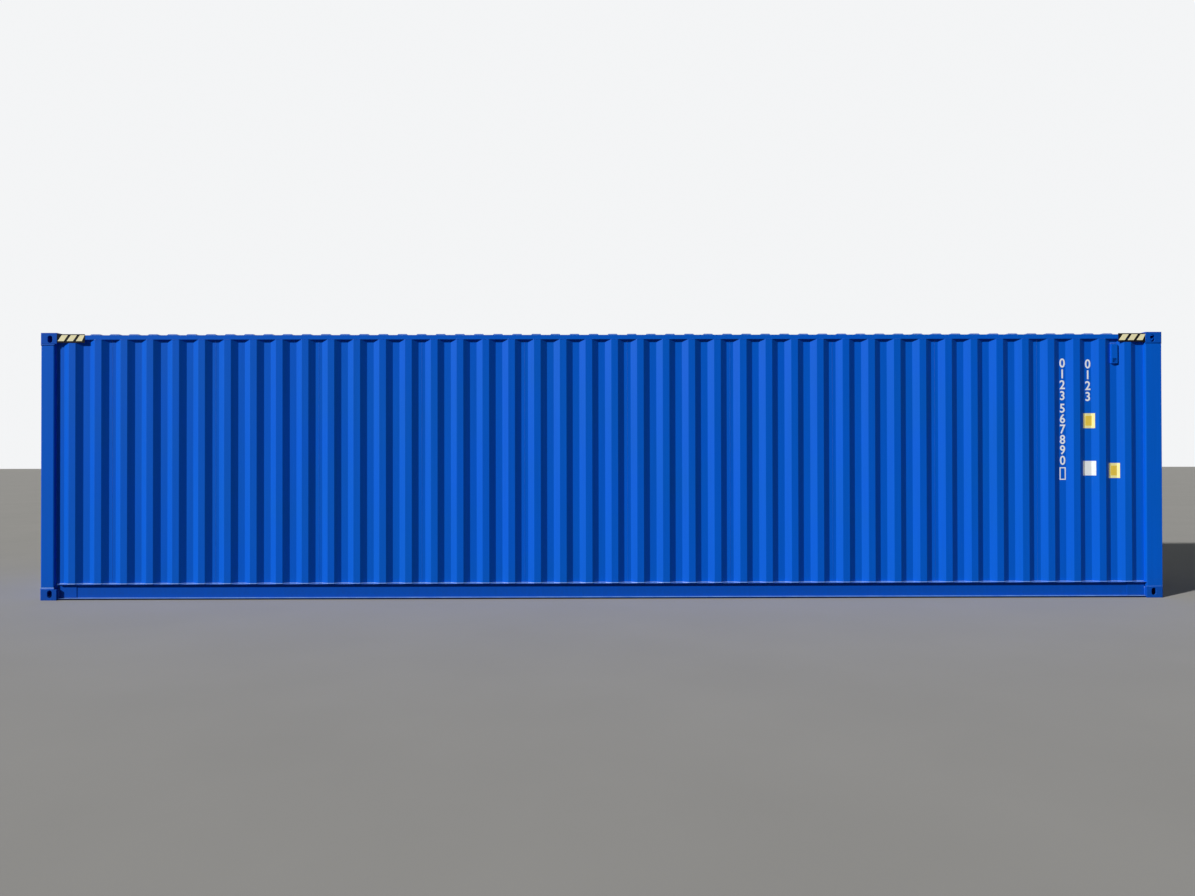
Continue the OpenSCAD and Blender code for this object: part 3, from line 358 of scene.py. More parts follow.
def makeZinc(name, roughness=0.42, wear=0.45):
    # Hot-dip zinc: crystals in tone and height, white storage stain in patches, brighter rubbed edges
    made, tree, shader, place = startMaterial(name, {"Metallic": 0.9})
    crystals = useGroup(tree, spangle, {"Place": place, "Size": zinc["size"]})
    stain = spread(tree, noise(tree, place, 14, 5, 0.7), 0.55, 0.75, 0, 0.6)
    edge = useGroup(tree, edgeWear, {"Place": place, "Radius": zinc["radius"], "Amount": wear})
    base = mixColour(tree, stain, shaded(tree, zinc["colour"], crystals["Tone"]), zinc["stain"])
    rough = plus(tree, times(tree, stain, zinc["stainRoughness"]), roughness)
    join(tree, shader, {"Base Color": mixColour(tree, edge["Mask"], base, zinc["bright"]),
                        "Roughness": mixValue(tree, edge["Mask"], rough, zinc["brightRoughness"]),
                        "Normal": bumped(tree, crystals["Height"], edge["Normal"])})
    return made


brushed = {"colour": (0.62, 0.62, 0.6, 1), "dull": (0.4, 0.41, 0.42, 1), "bright": (0.8, 0.8, 0.8, 1),
           "roughness": 0.32, "lines": (40, 40, 1400), "radius": 0.001, "wear": 0.4}


def makeBrushed(name, setup):
    # Brushed plate: fine level lines in roughness and height, a duller bloom in patches
    made, tree, shader, place = startMaterial(name, {"Metallic": 0.95})
    lines = noise(tree, stretched(tree, place, setup["lines"]), 1.0, 3, 0.6)
    bloom = spread(tree, noise(tree, place, 11, 4, 0.6), 0.35, 0.75)
    edge = useGroup(tree, edgeWear, {"Place": place, "Radius": setup["radius"], "Amount": setup["wear"]})
    dull = mixColour(tree, times(tree, bloom, 0.5), setup["colour"], setup["dull"])
    rough = plus(tree, times(tree, bloom, 0.16), setup["roughness"])
    join(tree, shader, {"Base Color": mixColour(tree, edge["Mask"], dull, setup["bright"]),
                        "Roughness": plus(tree, times(tree, lines, 0.1), rough),
                        "Normal": bumped(tree, times(tree, lines, 0.00001), edge["Normal"])})
    return made


rubber = {"colour": (0.018, 0.018, 0.019, 1), "bloom": (0.06, 0.06, 0.06, 1), "dustAndHighlight": (0.3, 0.31, 0.33, 1),
          "roughness": 0.62, "lying": 0.5, "lines": (900, 900, 40)}


def makeRubber(name, setup):
    # Extruded rubber: fine lines along the profile, chalky bloom in patches, dust on what looks up
    made, tree, shader, place = startMaterial(name, {})
    bloom = spread(tree, noise(tree, place, 6, 5, 0.65), 0.4, 0.75, 0, 0.35)
    dusty = useGroup(tree, dustAndHighlight, {"Place": place, "LyingAndHighlight": setup["lying"]})
    film = mixColour(tree, bloom, setup["colour"], setup["bloom"])
    skin = times(tree, noise(tree, stretched(tree, place, setup["lines"]), 1.0, 2), 0.00006)
    join(tree, shader, {"Base Color": mixColour(tree, dusty["LyingAndHighlight"], film, setup["dustAndHighlight"]),
                        "Roughness": plus(tree, times(tree, bloom, 0.3), setup["roughness"]),
                        "Normal": bumped(tree, skin)})
    return made


plywood = {"light": (0.34, 0.19, 0.09, 1), "dark": (0.17, 0.08, 0.035, 1), "pore": (0.05, 0.025, 0.012, 1),
           "rubbed": (0.06, 0.05, 0.045, 1),
           "grain": (2.5, 60, 60), "pores": (14, 420, 420), "tyres": (0.6, 7, 7)}


def makePlywood(name, setup):
    # Sealed hardwood: long grain along the container, darker pores, dark rubs of tyres
    made, tree, shader, place = startMaterial(name, {})
    figure = noise(tree, stretched(tree, place, setup["grain"]), 1.0, 6, 0.65)
    pores = spread(tree, noise(tree, stretched(tree, place, setup["pores"]), 1.0, 3), 0.55, 0.7)
    rubs = spread(tree, noise(tree, stretched(tree, place, setup["tyres"]), 1.0, 4), 0.56, 0.72, 0, 0.45)
    wood = mixColour(tree, spread(tree, figure, 0.3, 0.7), setup["light"], setup["dark"])
    wood = mixColour(tree, times(tree, pores, 0.5), wood, setup["pore"])
    join(tree, shader, {"Base Color": mixColour(tree, rubs, wood, setup["rubbed"]),
                        "Roughness": spread(tree, figure, 0.2, 0.8, 0.42, 0.68),
                        "Normal": bumped(tree, times(tree, plus(tree, figure, pores), -0.00025))})
    return made


markFilm = {"dirt": (0.25, 0.25, 0.26, 1), "rubs": 0.2, "fade": (0.95, 1.05), "roughness": (0.32, 0.48)}


def makeFilm(name, colour, gloss=0.3):
    # Cut marking film on the enamel: slight fading, fine stipple, dirt caught in small specks
    made, tree, shader, place = startMaterial(name, {"Specular IOR Level": gloss})
    worn = useGroup(tree, scratches, {"Place": place, "Amount": markFilm["rubs"]})["Mask"]
    faded = shaded(tree, colour, spread(tree, noise(tree, place, 12, 4), 0.3, 0.7, *markFilm["fade"]))
    specks = spread(tree, noise(tree, place, 320, 3, 0.7), 0.66, 0.76, 0, 0.3)
    dirty = mixColour(tree, calc(tree, "MAXIMUM", worn, specks), faded, markFilm["dirt"])
    rough = spread(tree, noise(tree, place, 30, 3), 0.3, 0.7, *markFilm["roughness"])
    stipple = times(tree, noise(tree, place, 700, 2), 0.00002)
    join(tree, shader, {"Base Color": dirty, "Roughness": rough, "Normal": bumped(tree, stipple)})
    return made


wallEnamel = makeEnamel("wallEnamel", inward=(0, 1, 0))
endEnamel = makeEnamel("endEnamel", inward=(1, 0, 0))
# The roof's enamel is darker than the walls' to paint shade along the roof's edge.
shadedRoofEnamel = makeEnamel("shadedRoofEnamel", colour=(0.0015, 0.088, 0.52, 1), lying=0.3, dents=0.004, drift=0.1,
                        runs=0.0, inward=(0, 0, 1), middle=1.4)
doorEnamel = makeEnamel("doorEnamel", inward=(1, 0, 0), wear=0.35)
# Darker than the walls' enamel as partly painted shade. Much pale dust paints highlight lines on the ledges.
railEnamel = makeEnamel("railEnamel", colour=(0.001, 0.085, 0.54, 1), wear=0.3, radius=0.003, rubs=0.15,
                        lying=1.2, splash=0.35, dents=0.0004)
ventEnamel = makeEnamel("ventEnamel", wear=0.1, rubs=0.05, lying=0.03, dents=0.0002)
# Much pale dust on the frame's ledges also paints highlight lines there.
frameEnamel = makeEnamel("frameEnamel", wear=0.3, radius=0.003, rubs=0.15, lying=0.9, splash=0.35,
                         dents=0.0004)
castEnamel = makeEnamel("castEnamel", colour=(0.0015, 0.085, 0.53, 1), roughness=0.5, peel=0.00009,
                        dents=0.001, wear=0.55, radius=0.006, rubs=0.3, splash=0.4)
underEnamel = makeEnamel("underEnamel", colour=(0.006, 0.05, 0.2, 1), roughness=0.55, peel=0.00008,
                         drift=0.25, wear=0.3, splash=0.7, runs=0.12)
# Beads carry much pale dust on what looks up, which paints bright highlight lines along them.
weldEnamel = makeEnamel("weldEnamel", roughness=0.3, peel=0.00003, dents=0.0, wear=0.0, lying=3.0,
                        splash=0.05, gloss=0.5)
gearZinc = makeZinc("gearZinc")
boltZinc = makeZinc("boltZinc", roughness=0.34, wear=0.7)
plateMetal = makeBrushed("plateMetal", brushed)
sealRubber = makeRubber("sealRubber", rubber)
floorPly = makePlywood("floorPly", plywood)
filmBlack = makeFilm("filmBlack", (0.004, 0.004, 0.0045, 1), gloss=0.1)
filmYellow = makeFilm("filmYellow", (0.95, 0.88, 0.55, 1))
filmPale = makeFilm("filmPale", (0.95, 0.88, 0.4, 1))
filmGold = makeFilm("filmGold", (0.86, 0.62, 0.08, 1))
filmWhite = makeFilm("filmWhite", (0.9, 0.93, 0.97, 1))
print("finishes ready")

# Which finish each CAD node gets, by a word in its name
finishes = [("casting", castEnamel), ("side_wall", wallEnamel), ("front_wall", endEnamel),
            ("roof", shadedRoofEnamel), ("door_panel", doorEnamel), ("door_frame", doorEnamel),
            ("floor_boards", floorPly), ("crossmembers", underEnamel), ("outriggers", underEnamel),
            ("tunnel", underEnamel), ("gaskets", sealRubber), ("ventilators", ventEnamel),
            ("bottom_rail", railEnamel), ("lock_rods", gearZinc), ("guides", gearZinc),
            ("handles", gearZinc), ("keepers", gearZinc), ("hinges", gearZinc), ("", frameEnamel)]
for name, node in nodes.items():
    finish = next(made for word, made in finishes if word in name)
    node.data.materials.clear()
    node.data.materials.append(finish)
print("CAD nodes finished")


# New pieces

def outwards(points, faces):
    # Turns a closed mesh's quads outwards: its volume, summed over the faces' corners, has to be positive
    corner = points[faces] - points[0]
    volume = (np.einsum("ij,ij->", corner[:, 0], np.cross(corner[:, 1], corner[:, 2]))
              + np.einsum("ij,ij->", corner[:, 0], np.cross(corner[:, 2], corner[:, 3])))
    return faces[:, ::-1] if volume < 0 else faces


def addPiece(name, mesh):
    made = bpy.data.objects.new(name, mesh)
    bpy.context.scene.collection.objects.link(made)
    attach(made, "root")


def addMesh(name, points, faces, finish, smooth=False):
    mesh = bpy.data.meshes.new(name)
    mesh.from_pydata(points.tolist(), [], outwards(points, faces).tolist())
    mesh.polygons.foreach_set("use_smooth", np.full(len(faces), smooth))
    mesh.materials.append(finish)
    mesh.update()
    addPiece(name, mesh)


def resample(path, step):
    # Points at even steps along a polyline, found by its running length
    run = np.concatenate([[0], np.cumsum(np.linalg.norm(np.diff(path, axis=0), axis=1))])
    at = np.linspace(0, run[-1], max(2, int(round(run[-1] / step)) + 1))
    return np.stack([np.interp(at, run, path[:, axis]) for axis in range(3)], axis=1)


def spreadAlong(direction, count, knots):
    # One direction for a whole path, or one for each of its knots drawn out evenly
    direction = np.asarray(direction, float)
    if direction.ndim == 1:
        return np.repeat(direction[None, :], count, axis=0)
    at = np.linspace(0, knots - 1, count)
    drawn = np.stack([np.interp(at, np.arange(knots), direction[:, axis]) for axis in range(3)], axis=1)
    return drawn / np.linalg.norm(drawn, axis=1, keepdims=True)


def tubeFaces(rings, sides):
    # Quads between the neighbouring rings of a tube with an even number of sides, and a fan on each end
    ring, side = np.meshgrid(np.arange(rings - 1), np.arange(sides), indexing="ij")
    turn = (side + 1) % sides
    walls = np.stack([ring * sides + side, (ring + 1) * sides + side,
                      (ring + 1) * sides + turn, ring * sides + turn], axis=-1).reshape(-1, 4)
    half = np.arange(1, sides - 1, 2)
    near = np.stack([np.zeros_like(half), half, half + 1, half + 2], axis=-1)
    far = near[:, ::-1] + (rings - 1) * sides
    return np.vstack([walls, near, far])


# Weld beads: the distance between ripples, how far a bead sinks between them, the share of its size at both
# ends, and the share of each side's direction at a corner
weld = {"pitch": 0.009, "ripple": 0.22, "ends": 0.7, "corner": 0.7}
filletSection = [(0.0, 0.0), (1.0, 0.0), (0.82, 0.5), (0.5, 0.82), (0.0, 1.0), (-0.05, -0.05)]
stepSection = [(-0.05, -0.1), (1.0, 0.0), (0.8, 0.28), (0.55, 0.5), (0.08, 0.95), (-0.05, 0.95)]
seamSection = [(-1.0, -0.15), (1.0, -0.15), (0.62, 0.75), (0.0, 1.0), (-0.62, 0.75), (-1.0, 0.0)]


def beadRings(path, across, up, section, width, height):
    # A bead is a small section carried along a path: at each point it is across times u plus up times v,
    # and the part of the section that stands up swells and sinks from ripple to ripple
    path = np.asarray(path, float)
    points = resample(path, weld["pitch"] / 2)
    across = spreadAlong(across, len(points), len(path))
    up = spreadAlong(up, len(points), len(path))
    wave = 1 - weld["ripple"] * (np.arange(len(points)) % 2)
    wave[[0, -1]] = weld["ends"]
    u, v = np.transpose(section)
    scale = np.where((u != 0) & (v > 0), wave[:, None], 1.0)
    return (points[:, None, :] + across[:, None, :] * (u * width * scale)[:, :, None]
            + up[:, None, :] * (v * height * scale)[:, :, None])


def addBeads(name, runs, finish=weldEnamel):
    # Joins several beads, each turned outwards by itself, into one piece
    points, faces, start = [], [], 0
    for rings in runs:
        corners = rings.reshape(-1, 3)
        points.append(corners)
        faces.append(outwards(corners, tubeFaces(*rings.shape[:2])) + start)
        start += len(corners)
    addMesh(name, np.vstack(points), np.vstack(faces), finish, smooth=True)


def upright(x, y, ends, gaps):
    # A line straight up between two heights, less a gap at its foot and at its head
    return [(x, y, ends[0] + gaps[0]), (x, y, ends[1] - gaps[1])]


# Corrugated walls, in metres, as the frame has them, along the container and across its front
wall = {"pitch": 0.280, "crest": 0.072, "slope": 0.068, "depth": 0.036, "first": 0.0792, "count": 42}
front = {"pitch": 0.250, "crest": 0.110, "slope": 0.018, "depth": 0.0456, "first": 0.0297, "count": 9}
wallLow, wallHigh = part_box("left_side_wall")
frontLow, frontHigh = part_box("front_wall")
recessY = wallLow.y + wall["depth"]
recessX = frontLow.x + front["depth"]


def wallRise(along, shape):
    # Height of a wall's outer face over its recesses: a row of trapezes, each the lesser of a rising and
    # a falling line
    along = along - shape["first"]
    cell = np.where((along >= 0) & (along < shape["pitch"] * shape["count"]), along % shape["pitch"], 0)
    foot = 2 * shape["slope"] + shape["crest"]
    return shape["depth"] * np.clip(np.minimum(cell, foot - cell) / shape["slope"], 0, 1)


def wallKnots(shape, length):
    # Corners of a wall's outer line, from its start to its end
    starts = shape["first"] + shape["pitch"] * np.arange(shape["count"])
    steps = np.cumsum([0, shape["slope"], shape["crest"], shape["slope"]])
    return np.concatenate([[0], (starts[:, None] + steps[None, :]).ravel(), [length]])


def sideLine(z, side):
    along = wallKnots(wall, wallHigh.x - wallLow.x)
    y = side * (recessY - wallRise(along, wall))
    return np.stack([wallLow.x + along, y, np.full(len(along), z)], axis=1)


def frontLine(z):
    along = wallKnots(front, frontHigh.y - frontLow.y)
    x = recessX - wallRise(along, front)
    return np.stack([x, frontLow.y + along, np.full(len(along), z)], axis=1)


def seamPlaces(shape, first, every):
    # Middles of the recesses after every few crests
    recess = shape["pitch"] - shape["crest"] - 2 * shape["slope"]
    return shape["first"] + np.arange(first, shape["count"], every) * shape["pitch"] - recess / 2


# Sizes are a bead's width and height. A seam follows the second crest, and then every fourth one, or on the
# front wall every third.
wallWeld = {"foot": (0.01, 0.0048), "head": (0.003, 0.003),
            "seam": (0.0028, 0.00084), "seamGaps": (0.006, 0.004),
            "first": 2, "sideSheet": 4, "frontSheet": 3,
            "sidePost": (0.0042, 0.0018), "frontPost": (0.0042, 0.0022), "postGaps": (0.012, 0.006)}


def wallBeads(lines, ends, seams, posts, post, across, out):
    # Fillets along a wall's foot and head, butt seams between its sheets, and the welds to its two posts
    runs = [beadRings(lines[0], (0, 0, 1), out, filletSection, *wallWeld["foot"]),
            beadRings(lines[1], (0, 0, -1), out, filletSection, *wallWeld["head"])]
    for x, y in seams:
        line = upright(x, y, ends, wallWeld["seamGaps"])
        runs.append(beadRings(line, across, out, seamSection, *wallWeld["seam"]))
    for x, y in posts:
        line = upright(x, y, ends, wallWeld["postGaps"])
        runs.append(beadRings(line, across, out, seamSection, *post))
    return runs


def makeWallWelds(setup):
    ends = wallLow.z, wallHigh.z
    half = setup["sidePost"][0] / 2
    for side, name in ((1, "left"), (-1, "right")):
        lines = [sideLine(z, side) for z in ends]
        places = wallLow.x + seamPlaces(wall, setup["first"], setup["sideSheet"])
        seams = [(x, side * recessY) for x in places]
        posts = [(x, side * wallHigh.y) for x in (wallLow.x - half, wallHigh.x + half)]
        runs = wallBeads(lines, ends, seams, posts, setup["sidePost"], (1, 0, 0), (0, -side, 0))
        addBeads(f"{name}_wall_welds", runs)
    ends = frontLow.z, frontHigh.z
    half = setup["frontPost"][0] / 2
    lines = [frontLine(z) for z in ends]
    places = frontLow.y + seamPlaces(front, setup["first"], setup["frontSheet"])
    seams = [(recessX, y) for y in places]
    posts = [(frontHigh.x, side * (frontHigh.y + half)) for side in (-1, 1)]
    runs = wallBeads(lines, ends, seams, posts, setup["frontPost"], (0, 1, 0), (-1, 0, 0))
    addBeads("front_wall_welds", runs)


makeWallWelds(wallWeld)
print("wall welds ready")

# Welds round the posts' feet and heads: each post meets its castings on two outer faces, "wide" along the
# container and "deep" across it, and the bead turns the corner between them
frontPostWeld = {"post": "front_post_left", "end": -1, "wide": 0.15, "deep": 0.106,
                 "rise": 0.02, "leg": 0.0025}
doorPostWeld = {"post": "door_post_left", "end": 1, "wide": 0.178, "deep": 0.011,
                "rise": 0.009, "leg": 0.0038}
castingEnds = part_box("casting_front_left_bottom")[1].z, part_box("casting_front_left_top")[0].z


def makePostWelds(name, setup, finish):
    low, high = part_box(setup["post"])
    end = setup["end"]
    face = low.x if end < 0 else high.x
    runs = []
    for side in (1, -1):
        y, inner = side * low.y, side * (low.y + setup["deep"])
        out = [(0, -side, 0), (end * weld["corner"], -side * weld["corner"], 0), (end, 0, 0)]
        for z, up in zip(castingEnds, (1, -1)):
            line = [(face - end * setup["wide"], y, z), (face, y, z), (face, inner, z)]
            runs.append(beadRings(line, (0, 0, up), out, stepSection, setup["rise"], setup["leg"]))
    addBeads(name, runs, finish)


makePostWelds("front_post_welds", frontPostWeld, weldEnamel)
makePostWelds("door_post_welds", doorPostWeld, frameEnamel)

railWeld = {"plate": 0.0028, "plateGaps": (0.002, 0.002), "corner": 0.007, "cornerGaps": (0.018, 0.004),
            "web": 0.0095}
plateLow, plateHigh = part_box("top_rail_plates")


def makeRailWelds(setup):
    # Upright beads where the top rails' plates and the bottom rails' webs meet the castings
    low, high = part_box("bottom_rail_left")
    plate, corner = setup["plate"], setup["corner"]
    web = high.y - setup["web"]
    runs = []
    for end in (-1, 1):
        plateX, railX = (plateHigh.x, high.x) if end > 0 else (plateLow.x, low.x)
        for side in (-1, 1):
            across, out = (-end, 0, 0), (0, -side, 0)
            line = upright(plateX, side * plateLow.y, (plateLow.z, plateHigh.z), setup["plateGaps"])
            runs.append(beadRings(line, across, out, stepSection, plate, plate))
            line = upright(railX, side * web, (low.z, castingEnds[0]), setup["cornerGaps"])
            runs.append(beadRings(line, across, out, filletSection, corner, corner))
    addBeads("rail_welds", runs)


makeRailWelds(railWeld)

# Roof welds: pitch, crest, slope and sheet are the stamped roof's, and "short" keeps a seam off its edges
roofWeld = {"pitch": 0.209, "crest": 0.091, "slope": 0.0135, "sheet": 0.002,
            "edge": (0.0028, 0.00098), "inset": 0.003, "seam": (0.004, 0.0014), "short": 0.012, "every": 5}


def makeRoofWelds(setup):
    # Lap welds along both edges of the roof, and a seam across it after every fifth rib
    low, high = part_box("roof_panel")
    z = low.z + setup["sheet"]
    runs = []
    for y in (setup["inset"] - high.y, high.y - setup["inset"]):
        line = [(low.x, y, z), (high.x, y, z)]
        runs.append(beadRings(line, (0, 1, 0), (0, 0, 1), seamSection, *setup["edge"]))
    length, half = high.x - low.x, high.y - setup["short"]
    recess = setup["pitch"] - setup["crest"] - 2 * setup["slope"]
    count = int((length - recess) // setup["pitch"])
    first = low.x + (length - count * setup["pitch"] + recess) / 2
    for rib in range(setup["every"], count, setup["every"]):
        x = first + rib * setup["pitch"] - recess / 2
        line = [(x, -half, z), (x, half, z)]
        runs.append(beadRings(line, (1, 0, 0), (0, 0, 1), seamSection, *setup["seam"]))
    addBeads("roof_welds", runs)


makeRoofWelds(roofWeld)
print("frame and roof welds ready")

panelWeld = {"width": 0.0032, "height": 0.0018}


def makePanelWelds(setup):
    # Each pressed panel is welded into its leaf all round
    runs = []
    for name in ("left_door_panel", "right_door_panel"):
        low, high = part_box(name)
        outline = (low.y, low.z), (high.y, low.z), (high.y, high.z), (low.y, high.z)
        corners = [(high.x, y, z) for y, z in outline]
        for index, across in enumerate(((0, 0, 1), (0, 1, 0), (0, 0, 1), (0, 1, 0))):
            line = [corners[index], corners[(index + 1) % 4]]
            runs.append(beadRings(line, across, (1, 0, 0), seamSection, setup["width"], setup["height"]))
    addBeads("door_panel_welds", runs)


makePanelWelds(panelWeld)

# Bolts and rivets. A bolt's "inner" is half its width across the flats, "edge" the share of its height
# where the chamfer starts, "top" and "middle" shares of its width. "last" is the angle of a rivet's top ring.
boltSides = 12
boltAngles = np.arange(boltSides) * 2 * math.pi / boltSides
boltShape = {"washer": 0.0125, "thick": 0.0016, "inner": 0.00782, "height": 0.0062,
             "edge": 0.85, "top": 0.82, "middle": 0.25}
rivetShape = {"radius": 0.0042, "height": 0.0022, "last": 1.4, "rings": 5}


def roundRings(rings):
    # Rings about the Z axis, each given by its radius, or one radius for each side, and its height
    around, up = np.cos(boltAngles), np.sin(boltAngles)
    return np.array([np.stack([radius * around, radius * up, np.full(boltSides, z)], axis=1)
                     for radius, z in rings])


def boltRings(shape):
    # A hexagon's outline is its inner radius over the cosine of the angle from the nearest flat's middle
    flat = np.abs((boltAngles + math.pi / 6) % (math.pi / 3) - math.pi / 6)
    hexagon = shape["inner"] / np.cos(flat)
    foot, head = shape["thick"], shape["thick"] + shape["height"]
    return roundRings([(shape["washer"], 0), (shape["washer"], foot), (hexagon, foot),
                       (hexagon, foot + shape["height"] * shape["edge"]),
                       (hexagon * shape["top"], head), (hexagon * shape["middle"], head)])


def rivetRings(shape):
    # A low dome: each ring's radius and height are the cosine and the sine of an angle up from its foot
    return roundRings([(shape["radius"] * math.cos(up), shape["height"] * math.sin(up))
                       for up in np.linspace(0, shape["last"], shape["rings"])])


def addBolts(name, places, rings, finish):
    # The same bolt or rivet at every place on the door end, its axis turned from Z to X
    turned = np.array(Vector((0, 0, 1)).rotation_difference(Vector((1, 0, 0))).to_matrix())
    base = rings.reshape(-1, 3) @ turned.T
    faces = tubeFaces(*rings.shape[:2])
    points = (np.array(places)[:, None, :] + base[None, :, :]).reshape(-1, 3)
    steps = np.arange(len(places))[:, None, None] * len(base)
    addMesh(name, points, (faces[None, :, :] + steps).reshape(-1, 4), finish)


# Where the door end's bolts are: on each rod's guides, and on each hinge's blade
doorGear = {"flutes": 5, "rods": (0.304, 0.864), "guideEnd": 0.03, "strap": 0.003,
            "guideY": (-0.037, 0.037), "guideZ": (-0.017, 0.017),
            "hinges": 4, "hingeEnd": 0.26, "blade": 0.010, "bladeY": (0.028, 0.068), "bladeZ": (-0.02, 0.02)}


def makeDoorBolts(setup):
    leafLow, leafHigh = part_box("left_door_frame")
    guideLow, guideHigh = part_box("left_door_guides")
    panelLow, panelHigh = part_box("left_door_panel")
    pitch, guideEnd = (panelHigh.z - panelLow.z) / setup["flutes"], setup["guideEnd"]
    levels = [guideLow.z + guideEnd, panelLow.z + pitch, panelHigh.z - pitch, guideHigh.z - guideEnd]
    rods = [side * y for side in (-1, 1) for y in setup["rods"]]
    places = [(leafHigh.x + setup["strap"], y + across, z + up) for y in rods for z in levels
              for across in setup["guideY"] for up in setup["guideZ"]]
    addBolts("guide_bolts", places, boltRings(boltShape), boltZinc)
    levels = np.linspace(leafLow.z + setup["hingeEnd"], leafHigh.z - setup["hingeEnd"], setup["hinges"])
    places = [(leafHigh.x + setup["blade"], side * (abs(leafLow.y) - back), z + up) for side in (-1, 1)
              for z in levels for back in setup["bladeY"] for up in setup["bladeZ"]]
    addBolts("hinge_bolts", places, boltRings(boltShape), boltZinc)


makeDoorBolts(doorGear)
print("bolts ready")

# Flat slabs
slabFaces = np.array([(0, 1, 5, 4), (1, 2, 6, 5), (2, 3, 7, 6), (3, 0, 4, 7), (3, 2, 1, 0), (4, 5, 6, 7)])


def addSlabs(name, outlines, depth, finish):
    # Four-cornered outlines, each closed by a copy of itself pushed out by the depth, in one piece
    outlines = np.asarray(outlines, float)
    points = np.concatenate([outlines, outlines + depth], axis=1).reshape(-1, 3)
    steps = 2 * outlines.shape[1] * np.arange(len(outlines))[:, None, None]
    addMesh(name, points, (slabFaces + steps).reshape(-1, 4), finish)


# Bare plate riveted to a flat of the left leaf's panel, between the lock rods, as such containers carry one
doorPlate = {"width": 0.235, "height": 0.19, "sheet": 0.0012, "inset": 0.012, "flute": 3}


def makeDoorPlate(setup):
    low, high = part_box("left_door_panel")
    rise = setup["flute"] * (high.z - low.z) / doorGear["flutes"]
    middle = np.array(((low.y + high.y) / 2, low.z + rise))
    half = np.array((setup["width"], setup["height"])) / 2
    turns = np.array(((-1, -1), (1, -1), (1, 1), (-1, 1)))
    outline = [(high.x, *(middle + turn * half)) for turn in turns]
    addSlabs("door_plate", [outline], (setup["sheet"], 0, 0), plateMetal)
    places = [(high.x + setup["sheet"], *(middle + turn * (half - setup["inset"]))) for turn in turns]
    addBolts("plate_rivets", places, rivetRings(rivetShape), plateMetal)


makeDoorPlate(doorPlate)
print("door plate ready")

# Striped plates on the top rails' ends, seen from outside: the stripes lean to the right on both sides
stripes = {"length": 0.300, "bars": 3, "first": 0.006, "step": 0.098, "width": 0.066, "lean": 0.045,
           "low": 0.019, "high": 0.084, "edge": 0.002, "film": 0.0003}


def plateCorners(outline, start, side):
    # An outline given as length and height over the plate's corner at the left, seen from outside
    u, v = np.transpose(outline)
    x = start + (u if side < 0 else stripes["length"] - u)
    return np.stack([x, np.full(len(u), plateLow.y if side < 0 else plateHigh.y), plateLow.z + v], axis=1)


def makeStripes(setup):
    # Black film over each plate, then slanted bars, the last cut off at the plate's end
    length, height, low, high = setup["length"], plateHigh.z - plateLow.z, setup["low"], setup["high"]
    sheet = [(0, 0), (length, 0), (length, height), (0, height)]
    bars = []
    for left in setup["first"] + setup["step"] * np.arange(setup["bars"]):
        right = left + setup["width"]
        last = min(right + setup["lean"], length - setup["edge"])
        bars.append([(left, low), (right, low), (last, high), (left + setup["lean"], high)])
    for side, name in ((-1, "left"), (1, "right")):
        out = np.array((0, side * setup["film"], 0))
        starts = plateLow.x, plateHigh.x - length
        black = [plateCorners(sheet, start, side) for start in starts]
        yellow = [plateCorners(bar, start, side) + out for start in starts for bar in bars]
        addSlabs(f"{name}_plate_black", black, out, filmBlack)
        addSlabs(f"{name}_plate_bars", yellow, out, filmYellow)


makeStripes(stripes)

# Marks by the door end of the photographed side: plain digits and bare plates. "figure" is a digit's height
# as a share of the font's size, a column is its middle, top, step and digits, and a box is its left, right,
# low and high.
marks = {"lift": 0.0005, "film": 0.0003, "bed": 0.0002, "digit": 0.098, "figure": 0.72, "bolder": 0.0024,
         "squeeze": 0.92, "smooth": 6,
         "columns": [(5.0235, 2.611, 0.119, "0123"), (5.0235, 2.115, 0.114, "567890"),
                     (5.3035, 2.601, 0.119, "0123")],
         "labels": [("label_upper", (5.247, 5.372, 1.847, 2.010)),
                    ("label_lower", (5.524, 5.645, 1.302, 1.466))],
         "border": 0.028, "fieldLift": 0.0004,
         "bare": (5.240, 5.380, 1.330, 1.489), "frame": (4.990, 5.057, 1.283, 1.420), "frameWidth": 0.011}


def addNumbers(name, x, top, step, text, setup):
    # Digits stacked downwards, made a mesh before it is stood up against the wall
    curve = bpy.data.curves.new(name, "FONT")
    curve.body = "\n".join(text)
    curve.align_x, curve.size = "CENTER", setup["digit"] / setup["figure"]
    curve.space_line = step / curve.size
    curve.offset, curve.extrude, curve.resolution_u = setup["bolder"], setup["film"] / 2, setup["smooth"]
    holder = bpy.data.objects.new(name, curve)
    bpy.context.scene.collection.objects.link(holder)
    bpy.context.view_layer.update()
    mesh = bpy.data.meshes.new_from_object(holder.evaluated_get(bpy.context.evaluated_depsgraph_get()))
    bpy.data.objects.remove(holder)
    flat = np.empty(3 * len(mesh.vertices))
    mesh.vertices.foreach_get("co", flat)
    y, z = recessY - setup["lift"], top - flat[1::3].max()
    mesh.transform(Matrix(((setup["squeeze"], 0, 0, x), (0, 0, -1, y), (0, 1, 0, z), (0, 0, 0, 1))))
    mesh.materials.clear()
    mesh.materials.append(filmWhite)
    mesh.name = name
    addPiece(name, mesh)


def addWrapped(name, box, finish, lift):
    # A thin plate that follows the wall: its two faces are the wall's outer line, moved out by the lift
    left, right, low, high = box
    knots = wallLow.x + wallKnots(wall, wallHigh.x - wallLow.x)
    x = np.unique(np.concatenate([[left, right], knots[(knots > left) & (knots < right)]]))
    line = recessY - wallRise(x - wallLow.x, wall) - lift
    near, far = line - marks["film"], line + marks["bed"]
    rings = np.stack([np.stack([x, y, np.full(len(x), z)], axis=1)
                      for y, z in ((near, low), (near, high), (far, high), (far, low))], axis=1)
    addMesh(name, rings.reshape(-1, 3), tubeFaces(len(x), 4), finish)


